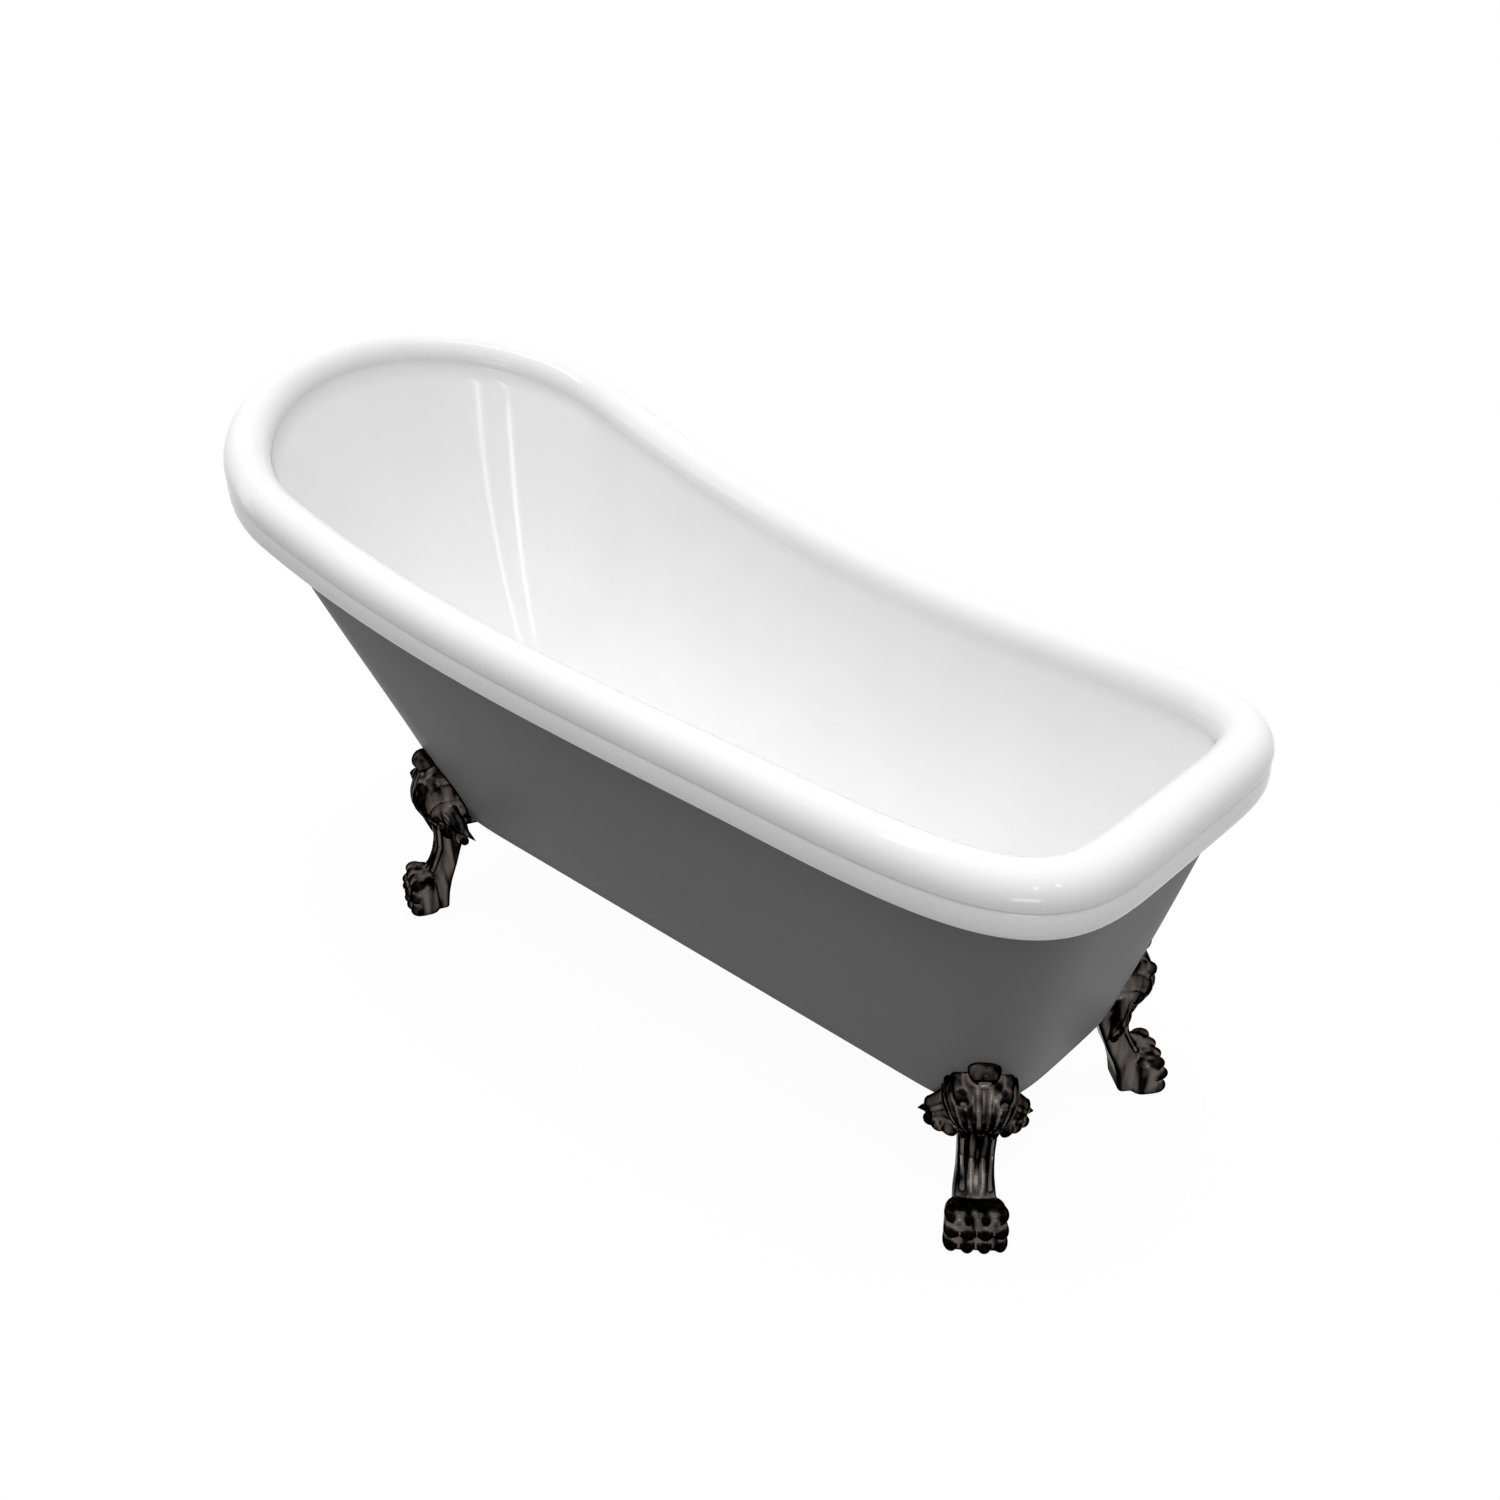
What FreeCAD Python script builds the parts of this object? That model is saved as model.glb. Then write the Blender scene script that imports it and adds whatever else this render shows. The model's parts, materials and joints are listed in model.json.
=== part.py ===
"""Double-skinned slipper bath on four claw feet.

Millimetres. Z is up and Z = 0 is the floor. X runs from the raised head end (-X) to the
low foot end (+X), Y = 0 is the plane of symmetry, and the origin is on the floor midway
along the bath. Every skin is a stack of closed rings round the bath: a ring is a plan
outline moved outwards by some distance, at a height that follows the slipper curve.
"""
import FreeCAD, Part
import math
import os
from FreeCAD import Placement, Rotation, Vector

# ---- rim: plan of the rail that the rolled edge is built round ----
rim_length = 1550.0        # overall, outside the rolled edge
rim_head_width = 706.0     # between the side lines at the raised end
rim_foot_width = 580.0     # between them at the low end
rim_head_curve = 268.0     # length of the rounded head end
rim_foot_curve = 524.0     # length over which the squarer foot end closes
rim_head_power = 2.0       # 2 is an ellipse, more is squarer
rim_foot_power = 5.8
taper_start = -600.0       # the sides draw in between these two stations
taper_end = 400.0

# ---- slipper curve: height of the lower edge of the rim ----
rim_low_height = 511.0
slipper_rise = 225.0
slipper_start = 600.0      # the rim is level on the foot side of this station
slipper_power = 2.75

# ---- rolled edge and the band under it ----
roll_radius = 33.0
seam_height = 35.0         # seam between roll and band, above the rim's lower edge
roll_centre_drop = 5.0     # the roll's centre sits this much above the seam
roll_inner_turn = 15.0     # degrees that the roll turns under on the bathing side
band_step = 2.6            # the band starts this far inside the roll
band_underside = 26.4      # width of the band's underside
band_ledge = 26.0          # height of the ledge that the outer skin stands under
band_ledge_depth = 8.0
band_lip = 2.0             # rounding between the band's face and its underside
# profile of the band's face: out from its lower edge, and height
band_face = ((-0.4, seam_height), (1.6, 28.0), (band_step, 18.2), (2.3, 8.8), (0.0, 1.0))

# ---- outer skin ----
skirt_wall = 5.0
skirt_bottom = 165.0       # height of the underside above the floor
skirt_edge = 6.0           # rounding between underside and walls
skirt_edge_middle = 1.8    # the rounding's middle is this far inside the corner
skirt_inner_edge = 1.0
base_head_x = -456.0       # plan of the outer skin where the walls start
base_foot_x = 654.4
base_width = 338.8
base_head_curve = 252.0    # lengths of its rounded ends
base_foot_curve = 140.0
base_head_power = 3.54
base_foot_power = 4.0
skirt_belly = 0.13         # how far the walls bow outwards, as a share of their lean

# ---- bathing shell ----
basin_wall = 7.0
rail_tube_height = 20.0    # steel cross rails under the board
rail_tube_width = 60.0
rail_tube_wall = 2.5
board_thickness = 23.0
floor_head_x = -360.0      # plan of the flat bathing floor
floor_foot_x = 545.0
floor_width = 216.0
floor_corner = 150.0
floor_power = 2.4
board_head_x = -395.0
board_foot_x = 620.0
board_width = 280.0
board_corner = 50.0
wall_flare = (0.35, 0.62)  # plan handles of the wall's curve from floor to roll
wall_lift = 0.42           # height handle of the same curve

# ---- claw feet ----
foot_head_x = -399.0       # where the paws stand
foot_head_y = 229.0
foot_drain_x = 661.0
foot_drain_y = 192.0
foot_head_angle = 115.0    # which way the paws point, from the bath's length
foot_drain_angle = 50.0
head_crest = 284.0         # height of the crest's top
drain_crest = 262.0
foot_collar = 150.0        # the feet share one shape up to here
foot_skin_gap = 0.5        # between the casting's back and the outer skin
sole_height = 2.0          # the casting ends this far above the floor
shelf_thickness = 14.0
shelf_width = 56.0
shelf_start = 40.0         # the shelf spans these two distances behind the paw's middle
shelf_end = 160.0
toe_count = 4
toe_radius = 10.5
paw_half_width = 40.0
toe_tip = (13.0, 15.0)     # forward and up to the middle of a toe's tip
toe_tip_radii = (17.0, 10.6, 13.0)
toe_knuckle = (14.0, 44.0) # the same for its knuckle
toe_knuckle_radii = (19.0, 10.6, 20.0)
toe_knuckle_tilt = 20.0
toe_fan = 0.16             # outer toes sit back by this share of their distance from the middle
wing_back = -62.0          # plane of the leaf wings' back, where they leave the leg
wing_thickness = 17.0
wing_sweep = 18.0          # degrees that the wings turn back towards the bath
crest_middle = ((-31.0, 0.0, 268.0), (14.0, 19.0, 14.0))   # centre and radii of the crest's lobes
crest_side = ((-37.0, 26.0, 240.0), (13.0, 12.0, 12.0))
bolt_setbacks = (124.0, 146.0)
bolt_diameter = 10.0
bolt_clearance = 0.5       # radial, in the holes
bolt_head_height = 6.4
bolt_head_flats = 16.0
washer_thickness = 2.0
washer_diameter = 21.0
nut_height = 8.0
nut_hole = 24.0            # clearance hole in the board round each nut
rail_end_margin = 11.0

# ---- levelling screws in the paws ----
level_setback = 8.0        # screw axis behind the paw's middle
level_stud_diameter = 10.0
level_stud_length = 34.0
bore_margin = 1.0          # the bore ends this far above the stud
level_disc_diameter = 30.0
level_disc_height = 4.0
level_pad_height = 4.0
level_recess_gap = 2.0     # round the disc in the sole
running_gap = 0.05         # radial, stud and stem in their bores

# ---- waste ----
waste_x = 430.0
waste_bore = 46.0          # outside of the threaded body
waste_wall = 3.0
waste_flange_diameter = 70.0
waste_flange_height = 3.0
waste_seat_depth = 1.5
waste_hole_gap = 1.0       # radial, body in the basin floor
waste_gasket_height = 3.0
waste_nut_height = 7.0
waste_nut_diameter = 64.0
nut_grips = 12
nut_grip_diameter = 5.0
waste_tee_bottom = 184.0
tail_diameter = 40.0
tail_wall = 2.0
tail_end = 118.0           # height of the open end of the tail
tail_socket = 12.0
plug_diameter = 60.0
plug_height = 5.0
plug_rounding = 3.0
plug_gap = 0.5             # radial, plug in its seat and seal in the bore
plug_lift = 9.0
plug_stem_diameter = 8.0
plug_stem_spare = 3.0      # the stem stays this far through its bridge when lifted
plug_seal_width = 3.0
bridge_width = 6.0
bridge_height = 4.0
bridge_boss_wall = 3.0
bridge_drop = 22.0         # bridge that guides the stem, below the floor
board_waste_gap = 6.0
skirt_waste_gap = 5.0

# ---- overflow ----
overflow_height = 470.0    # of the cover's middle above the floor
overflow_cover_diameter = 68.0
overflow_cover_depth = 11.0
overflow_cover_wall = 2.0
overflow_cover_rounding = 3.0
overflow_pillar_wall = 3.0 # round the screw, inside the cover
overflow_slot = (30.0, 7.0)
overflow_gasket_depth = 3.0
overflow_gasket_inset = 3.0
overflow_bore = 32.0
overflow_body_depth = 30.0
overflow_body_diameter = 58.0
overflow_body_wall = 4.0
overflow_web_wall = 4.0    # round the screw, inside the elbow
overflow_web_gap = 6.0     # the web ends this far behind the wall
overflow_screw_diameter = 6.0
overflow_head_diameter = 10.8
overflow_head_height = 2.0
hose_diameter = 20.0
hose_wall = 2.0
hose_bend = 45.0           # radius of its bends
hose_corner_x = 643.0      # where it turns from the foot-end wall along the floor
hose_rail_gap = 1.5        # above the drain rail
hose_insertion = 8.0       # length inside the overflow body
hose_slot_gap = 3.0
port_drop = 4.5            # the side port's hose stays this far below the nut

cutter_margin = 1.0        # a hole's cutter passes its faces by this much

# ---- how finely the rings are followed ----
ring_points = 96
ring_faces = 16
outline_steps = 600

# ---- derived ----
seat_height = skirt_bottom + skirt_wall
board_bottom = seat_height + rail_tube_height
basin_bottom = board_bottom + board_thickness
floor_height = basin_bottom + basin_wall
wall_start = skirt_bottom + skirt_edge
roll_centre = seam_height + roll_centre_drop
band_bottom_n = roll_radius - band_step
skirt_top_n = band_bottom_n - band_underside + band_lip


class Plan:
    """A plan outline: two side lines that taper, closed by a superellipse at each end."""

    def __init__(self, ends, half_widths, curves, powers):
        self.ends = ends
        self.half_widths = half_widths
        self.curves = curves
        self.powers = powers

    def half_width(self, x):
        """Half the width at station x."""
        share = min(1.0, max(0.0, (x - taper_start) / (taper_end - taper_start)))
        ease = share * share * (3.0 - 2.0 * share)
        width = self.half_widths[0] + (self.half_widths[1] - self.half_widths[0]) * ease
        insides = (self.ends[0] + self.curves[0] - x, x - self.ends[1] + self.curves[1])
        for inside, curve, power in zip(insides, self.curves, self.powers):
            reach = max(0.0, inside / curve)
            width *= max(0.0, 1.0 - reach ** power) ** (1.0 / power)
        return width

    def points(self, offset):
        """Evenly spaced (x, y, rail x) round the outline, moved outwards by offset."""
        middle = (self.ends[0] + self.ends[1]) / 2.0
        reach = (self.ends[1] - self.ends[0]) / 2.0
        xs = [middle - reach * math.cos(math.pi * i / outline_steps) for i in range(outline_steps + 1)]
        ys = [-self.half_width(x) for x in xs]
        run = [0.0]
        for i in range(outline_steps):
            run.append(run[-1] + math.hypot(xs[i + 1] - xs[i], ys[i + 1] - ys[i]))
        near = []
        index = 0
        half_count = ring_points // 2
        for k in range(half_count + 1):
            target = run[-1] * k / half_count
            while index < outline_steps - 1 and run[index + 1] < target:
                index += 1
            share = (target - run[index]) / (run[index + 1] - run[index])
            x = xs[index] + (xs[index + 1] - xs[index]) * share
            y = ys[index] + (ys[index + 1] - ys[index]) * share
            along = Vector(xs[index + 1] - xs[index], ys[index + 1] - ys[index], 0.0).normalize()
            if k == 0:
                along = Vector(0.0, -1.0, 0.0)
            if k == half_count:
                along = Vector(0.0, 1.0, 0.0)
            near.append((x + along.y * offset, y - along.x * offset, x))
        far = [(x, -y, rail) for x, y, rail in near[-2:0:-1]]
        return near + far


rim_plan = Plan((roll_radius - rim_length / 2.0, rim_length / 2.0 - roll_radius),
                (rim_head_width / 2.0 - roll_radius, rim_foot_width / 2.0 - roll_radius),
                (rim_head_curve, rim_foot_curve), (rim_head_power, rim_foot_power))
base_plan = Plan((base_head_x, base_foot_x), (base_width / 2.0, base_width / 2.0),
                 (base_head_curve, base_foot_curve), (base_head_power, base_foot_power))
floor_plan = Plan((floor_head_x, floor_foot_x), (floor_width / 2.0, floor_width / 2.0),
                  (floor_corner, floor_corner), (floor_power, floor_power))


def rim_height(x):
    """Height of the rim's lower edge at station x."""
    rise = max(0.0, (slipper_start - x) / (slipper_start - rim_plan.ends[0]))
    return rim_low_height + slipper_rise * rise ** slipper_power


def rim_ring(out, up):
    """Ring at a distance outwards from the rail and above the rim's lower edge."""
    return [Vector(x, y, rim_height(rail) + up) for x, y, rail in rim_plan.points(out)]


def level_ring(plan, out, height):
    """Level ring on a plan outline."""
    return [Vector(x, y, height) for x, y, rail in plan.points(out)]


def blend_rings(low, high, across, up):
    """Ring between two others, by separate shares in plan and in height."""
    ring = []
    for a, b in zip(low, high):
        step = b - a
        ring.append(a + Vector(step.x * across, step.y * across, step.z * up))
    return ring


def ring_curve(ring):
    """Closed smooth curve through a ring's points."""
    curve = Part.BSplineCurve()
    count = len(ring)
    curve.interpolate(Points=ring, PeriodicFlag=True, Parameters=[i / count for i in range(count + 1)])
    return curve


def face_spans():
    """Shares of the way round at which a ring is divided into faces."""
    return [(i / ring_faces, (i + 1) / ring_faces) for i in range(ring_faces)]


def skin(rings):
    """Smooth faces round the bath through a stack of rings, or ruled ones through two."""
    curves = [ring_curve(ring) for ring in rings]
    knots = curves[0].getKnots()
    rows = [curve.getPoles() for curve in curves]
    steps = [0.0]
    for low, high in zip(rows, rows[1:]):
        steps.append(steps[-1] + sum(a.distanceToPoint(b) for a, b in zip(low, high)) / len(low))
    shares = [step / steps[-1] for step in steps]
    columns = []
    for column in zip(*rows):
        curve = Part.BSplineCurve()
        if len(rings) == 2:
            curve.buildFromPolesMultsKnots(list(column), [2, 2], [0.0, 1.0], False, 1)
        else:
            curve.interpolate(Points=list(column), Parameters=shares)
        columns.append(curve)
    surface = Part.BSplineSurface()
    surface.buildFromPolesMultsKnots([column.getPoles() for column in columns],
                                     curves[0].getMultiplicities(), columns[0].getMultiplicities(),
                                     knots, columns[0].getKnots(), True, False,
                                     curves[0].Degree, columns[0].Degree)
    return [surface.toShape(start, end, 0.0, 1.0) for start, end in face_spans()]


def cap(ring):
    """Flat face inside a level ring."""
    curve = ring_curve(ring)
    return Part.Face(Part.Wire([curve.toShape(start, end) for start, end in face_spans()]))


def solid_of(faces):
    """Closed solid sewn from faces that meet edge to edge."""
    shell = Part.makeShell(faces)
    shell.sewShape()
    solid = Part.makeSolid(Part.Shell(shell.Faces))
    if solid.Volume < 0:
        solid.reverse()
    return solid


def walls(patches):
    """Faces of a chain of patches, each starting at the ring where the last one ended."""
    faces = []
    last = None
    for patch in patches:
        rings = patch if last is None else [last] + patch
        faces += skin(rings)
        last = rings[-1]
    return faces


def cup(patches):
    """Solid between two level caps, with the patches as its walls."""
    return solid_of([cap(patches[0][0])] + walls(patches) + [cap(patches[-1][-1])])


def hoop(patches):
    """Solid ring whose patches close on themselves."""
    return solid_of(walls(patches))


def bezier(share, second, third):
    """Cubic from 0 to 1 with two inner handles."""
    rest = 1.0 - share
    return 3.0 * rest * rest * share * second + 3.0 * rest * share * share * third + share ** 3


def disc(diameter, bottom, height, x=0.0, y=0.0):
    return Part.makeCylinder(diameter / 2.0, height, Vector(x, y, bottom))


def drill(diameter, bottom, height, x, y=0.0):
    """Cutter for a hole right through a plate."""
    return disc(diameter, bottom - cutter_margin, height + 2.0 * cutter_margin, x, y)


def tube(outer, inner, bottom, height, x=0.0, y=0.0):
    return disc(outer, bottom, height, x, y).cut(disc(inner, bottom, height, x, y))


# ---------------------------------------------------------------- bathing shell

def roll_arc(radius, start, end, count):
    """Rings along the roll between two angles, in degrees above the outward horizontal."""
    rings = []
    for i in range(count + 1):
        angle = math.radians(start + (end - start) * i / count)
        rings.append(rim_ring(radius * math.cos(angle), roll_centre + radius * math.sin(angle)))
    return rings


def wall_rings(low, high, count=7):
    """Rings of the bathing wall, from just above the floor up to the roll."""
    rings = []
    for i in range(1, count + 1):
        share = i / count
        rings.append(blend_rings(low, high, bezier(share, *wall_flare), bezier(share, 0.0, wall_lift)))
    return rings


def seam_angle(radius):
    """Angle at which a roll of this radius reaches the seam."""
    return -math.degrees(math.asin(roll_centre_drop / radius))


def basin():
    inner_radius = roll_radius - basin_wall
    inner_end = 180.0 + roll_inner_turn
    outer_arc = roll_arc(roll_radius, inner_end, seam_angle(roll_radius), 9)
    inner_arc = roll_arc(inner_radius, seam_angle(inner_radius), inner_end, 9)
    floor_ring = level_ring(floor_plan, 0.0, floor_height)
    under_ring = level_ring(floor_plan, 0.0, basin_bottom)
    back_wall = [under_ring] + wall_rings(under_ring, inner_arc[-1])
    shell = cup([[floor_ring] + wall_rings(floor_ring, outer_arc[0]),
                 outer_arc[1:], [inner_arc[0]], inner_arc[1:], back_wall[-2::-1]])
    shell = shell.cut(drill(waste_bore + 2.0 * waste_hole_gap, basin_bottom, basin_wall, waste_x))
    return shell.cut(overflow_part(disc(overflow_bore, -basin_wall * 2.0, basin_wall * 4.0)))


def wall_profile(share):
    """Point (x, z) of the bathing face in the middle of the foot end."""
    start = floor_plan.ends[1]
    end = rim_plan.ends[1] - roll_radius * math.cos(math.radians(roll_inner_turn))
    top = rim_low_height + roll_centre - roll_radius * math.sin(math.radians(roll_inner_turn))
    x = start + (end - start) * bezier(share, *wall_flare)
    return x, floor_height + (top - floor_height) * bezier(share, 0.0, wall_lift)


def overflow_place():
    """Placement whose Z points out of the foot-end wall into the bath at the overflow."""
    low, high = 0.0, 1.0
    while high - low > 1e-6:
        middle = (low + high) / 2.0
        if wall_profile(middle)[1] < overflow_height:
            low = middle
        else:
            high = middle
    x, z = wall_profile(low)
    ahead = wall_profile(low + 0.01)
    lean = math.atan2(ahead[0] - x, ahead[1] - z)
    into_bath = Vector(-math.cos(lean), 0.0, math.sin(lean))
    return Placement(Vector(x, 0.0, z), Rotation(Vector(0.0, 0.0, 1.0), into_bath))


def overflow_part(shape):
    """Move a shape drawn on the wall's own plane to the overflow."""
    shape.Placement = overflow_place()
    return shape


# ---------------------------------------------------------------- band and outer skin

def rim_band():
    """White band that closes the gap between the roll's edge and the outer skin."""
    face = [rim_ring(band_bottom_n + out, up) for out, up in band_face]
    underside = rim_ring(band_bottom_n - band_lip, 0.0)
    step = rim_ring(skirt_top_n, 0.0)
    ledge_out = rim_ring(skirt_top_n, band_ledge)
    ledge_in = rim_ring(skirt_top_n - band_ledge_depth, band_ledge)
    back = rim_ring(skirt_top_n - band_ledge_depth, seam_height)
    return hoop([face, [underside], [step], [ledge_out], [ledge_in], [back], [face[0]]])


def skirt_rings(low, high, count=5):
    rings = []
    for i in range(1, count + 1):
        share = i / count
        rings.append(blend_rings(low, high, share + skirt_belly * share * (1.0 - share), share))
    return rings


def skin_outside(grow):
    """Rings up the outside of the skin, moved outwards, from its underside to the band."""
    floor_ring = level_ring(base_plan, grow - skirt_edge, skirt_bottom)
    edge = level_ring(base_plan, grow - skirt_edge_middle, skirt_bottom + skirt_edge_middle)
    low = level_ring(base_plan, grow, wall_start)
    return [floor_ring, edge, low], skirt_rings(low, rim_ring(skirt_top_n + grow, band_ledge))


def outer_skirt():
    """Satin outer skin: a tapering tub with a flat bottom, open under the band."""
    inner_low = level_ring(base_plan, -skirt_wall, wall_start)
    inner_top = rim_ring(skirt_top_n - skirt_wall, band_ledge)
    inner_floor = level_ring(base_plan, -skirt_wall - skirt_inner_edge, seat_height)
    underside, wall = skin_outside(0.0)
    skirt = cup([[inner_floor, inner_low], skirt_rings(inner_low, inner_top), [wall[-1]],
                 wall[-2::-1] + [underside[-1]], underside[-2::-1]])
    tail_hole = tail_diameter + 2.0 * skirt_waste_gap
    skirt = skirt.cut(drill(tail_hole, skirt_bottom, skirt_wall, waste_x))
    return skirt.cut(bolt_holes(skirt_bottom, skirt_wall))


def skin_envelope(grow):
    """Solid as large as the outer skin, moved outwards, up past the rim."""
    underside, wall = skin_outside(grow)
    lid = level_ring(rim_plan, skirt_top_n + grow, rim_height(rim_plan.ends[0]) + seam_height)
    return cup([underside, wall, [lid]])


# ---------------------------------------------------------------- what carries the shell

def foot_places():
    """Name, standing point and outward direction, in degrees, of each foot."""
    return (("head_near", Vector(foot_head_x, -foot_head_y, 0.0), -foot_head_angle),
            ("head_far", Vector(foot_head_x, foot_head_y, 0.0), foot_head_angle),
            ("drain_near", Vector(foot_drain_x, -foot_drain_y, 0.0), -foot_drain_angle),
            ("drain_far", Vector(foot_drain_x, foot_drain_y, 0.0), foot_drain_angle))


def at_foot(shape, point, angle):
    """Copy of a shape drawn with the paw pointing along +X, moved to a foot's place."""
    placed = shape.copy()
    placed.Placement = Placement(point, Rotation(Vector(0.0, 0.0, 1.0), angle))
    return placed


def bolt_points(names=("head", "drain")):
    """Axes of the foot bolts, as points on the floor."""
    points = []
    for name, point, angle in foot_places():
        if name.split("_")[0] in names:
            outward = Vector(math.cos(math.radians(angle)), math.sin(math.radians(angle)), 0.0)
            points += [point - outward * setback for setback in bolt_setbacks]
    return points


def bolt_holes(bottom, height, names=("head", "drain")):
    diameter = bolt_diameter + 2.0 * bolt_clearance
    return Part.makeCompound([drill(diameter, bottom, height, p.x, p.y) for p in bolt_points(names)])


def cross_rail(end):
    """Steel tube across the bath, over one pair of feet."""
    points = bolt_points((end,))
    middle = sum(p.x for p in points) / len(points)
    half_length = max(abs(p.y) for p in points) + rail_end_margin
    outer = Part.makeBox(rail_tube_width, 2.0 * half_length, rail_tube_height,
                         Vector(middle - rail_tube_width / 2.0, -half_length, seat_height))
    inside = Part.makeBox(rail_tube_width - 2.0 * rail_tube_wall, 2.0 * half_length,
                          rail_tube_height - 2.0 * rail_tube_wall,
                          Vector(middle - rail_tube_width / 2.0 + rail_tube_wall, -half_length,
                                 seat_height + rail_tube_wall))
    return outer.cut(inside).cut(bolt_holes(seat_height, rail_tube_height, (end,)))


def base_board():
    """Board bonded under the bathing floor, resting on the cross rails."""
    board = Part.makeBox(board_foot_x - board_head_x, board_width, board_thickness,
                         Vector(board_head_x, -board_width / 2.0, board_bottom))
    upright = [e for e in board.Edges if e.BoundBox.ZLength > board_thickness / 2.0]
    board = board.makeFillet(board_corner, upright)
    slot_width = hose_diameter + 2.0 * hose_slot_gap
    slot = Part.makeBox(base_foot_x - waste_x, slot_width, board_thickness,
                        Vector(waste_x, -slot_width / 2.0, board_bottom))
    waste_hole = disc(waste_nut_diameter + 2.0 * board_waste_gap, board_bottom, board_thickness, waste_x)
    board = board.cut(waste_hole).cut(slot)
    for p in bolt_points():
        board = board.cut(disc(nut_hole, board_bottom, board_thickness, p.x, p.y))
    return board


def hexagon(flats, bottom, height, x, y):
    radius = flats / math.sqrt(3.0)
    corners = []
    for i in range(7):
        angle = math.radians(60.0 * i)
        corners.append(Vector(x + radius * math.cos(angle), y + radius * math.sin(angle), bottom))
    return Part.Face(Part.makePolygon(corners)).extrude(Vector(0.0, 0.0, height))


def foot_bolts():
    """Bolts up through the feet, the outer skin and the rails."""
    shelf_bottom = skirt_bottom - shelf_thickness
    length = shelf_thickness + skirt_wall + rail_tube_height + washer_thickness + nut_height
    bolts = []
    for p in bolt_points():
        head = hexagon(bolt_head_flats, shelf_bottom - bolt_head_height, bolt_head_height, p.x, p.y)
        bolts.append(head.fuse(disc(bolt_diameter, shelf_bottom, length, p.x, p.y)).removeSplitter())
    return Part.makeCompound(bolts)


def foot_washers():
    inner = bolt_diameter + 2.0 * bolt_clearance
    return Part.makeCompound([tube(washer_diameter, inner, board_bottom, washer_thickness, p.x, p.y)
                              for p in bolt_points()])


def foot_nuts():
    bottom = board_bottom + washer_thickness
    return Part.makeCompound([hexagon(bolt_head_flats, bottom, nut_height, p.x, p.y).cut(
        disc(bolt_diameter, bottom, nut_height, p.x, p.y)) for p in bolt_points()])


# ---------------------------------------------------------------- claw foot

# Height, back, middle, front and half width of the casting from the sole to the crest.
foot_sections = ((sole_height, -42.0, -10.0, 14.0, 34.0), (12.0, -44.0, -10.0, 22.0, 37.0),
                 (34.0, -48.0, -10.0, 24.0, 38.0), (52.0, -53.0, -14.0, 19.0, 38.0),
                 (64.0, -56.0, -20.0, 7.0, 35.0), (76.0, -60.0, -36.0, -14.0, 26.0),
                 (92.0, -65.0, -46.0, -25.0, 23.0), (112.0, -72.0, -52.0, -31.0, 23.0),
                 (134.0, -80.0, -56.0, -32.0, 24.0), (foot_collar, -86.0, -56.0, -29.0, 27.0),
                 (164.0, -116.0, -55.0, -20.0, 33.0), (182.0, -116.0, -52.0, -12.0, 39.0),
                 (198.0, -112.0, -50.0, -8.0, 42.0), (214.0, -104.0, -48.0, -9.0, 43.0),
                 (230.0, -96.0, -46.0, -15.0, 40.0), (246.0, -88.0, -46.0, -22.0, 33.0),
                 (262.0, -80.0, -46.0, -29.0, 22.0))
section_points = 24
section_power = 2.3


def section_ring(height, back, middle, front, half_width):
    """Level superellipse, reaching to a front and a back of its own from its widest place."""
    ring = []
    for i in range(section_points):
        angle = 2.0 * math.pi * i / section_points
        c, s = math.cos(angle), math.sin(angle)
        reach = front - middle if c > 0.0 else middle - back
        x = middle + reach * math.copysign(abs(c) ** (2.0 / section_power), c)
        y = half_width * math.copysign(abs(s) ** (2.0 / section_power), s)
        ring.append(Vector(x, y, height))
    return ring


def ellipsoid(centre, radii, tilt=0.0):
    """Ellipsoid, tilted nose down in the foot's own plane."""
    matrix = FreeCAD.Matrix()
    matrix.scale(radii[0], radii[1], radii[2])
    body = Part.makeSphere(1.0).transformGeometry(matrix)
    body.Placement = Placement(Vector(*centre), Rotation(Vector(0.0, 1.0, 0.0), tilt))
    return body


def toes():
    """Toes side by side, each a knuckle and a tip."""
    outermost = paw_half_width - toe_radius
    solids = []
    for i in range(toe_count):
        side = outermost * (2.0 * i / (toe_count - 1) - 1.0)
        back = toe_fan * abs(side)
        tip = (toe_tip[0] - back, side, toe_tip[1])
        knuckle = (toe_knuckle[0] - back, side, toe_knuckle[1])
        solids += [ellipsoid(tip, toe_tip_radii), ellipsoid(knuckle, toe_knuckle_radii, toe_knuckle_tilt)]
    return solids


def stretched(height, crest_top):
    """Height of a detail above the collar, for a casting with its crest's top at some height."""
    own_top = crest_middle[0][2] + crest_middle[1][2]
    if height <= foot_collar:
        return height
    return foot_collar + (height - foot_collar) * (crest_top - foot_collar) / (own_top - foot_collar)


def leaf_wing(side, crest_top):
    """Pointed acanthus leaf that hangs back along the shell on one side of the foot."""
    outline = ((0.0, 232.0), (26.0, 240.0), (46.0, 228.0), (50.0, 204.0), (60.0, 186.0), (60.0, 164.0),
               (69.0, 134.0), (52.0, 146.0), (34.0, 144.0), (20.0, 128.0), (0.0, 128.0))
    points = [Vector(0.0, side * y, stretched(z, crest_top)) for y, z in outline]
    face = Part.Face(Part.makePolygon(points + [points[0]]))
    leaf = face.extrude(Vector(wing_thickness, 0.0, 0.0))
    sweep = Rotation(Vector(0.0, 0.0, 1.0), side * wing_sweep)
    leaf.Placement = Placement(Vector(wing_back, 0.0, 0.0), sweep)
    return leaf


def crest_lobes(crest_top):
    """Curled top of the foot: a middle lobe between two smaller ones."""
    lobes = []
    for (x, y, z), radii in (crest_middle, crest_side):
        for side in sorted({y, -y}):
            lobes.append(ellipsoid((x, side, stretched(z + radii[2], crest_top) - radii[2]), radii))
    return lobes


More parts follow.
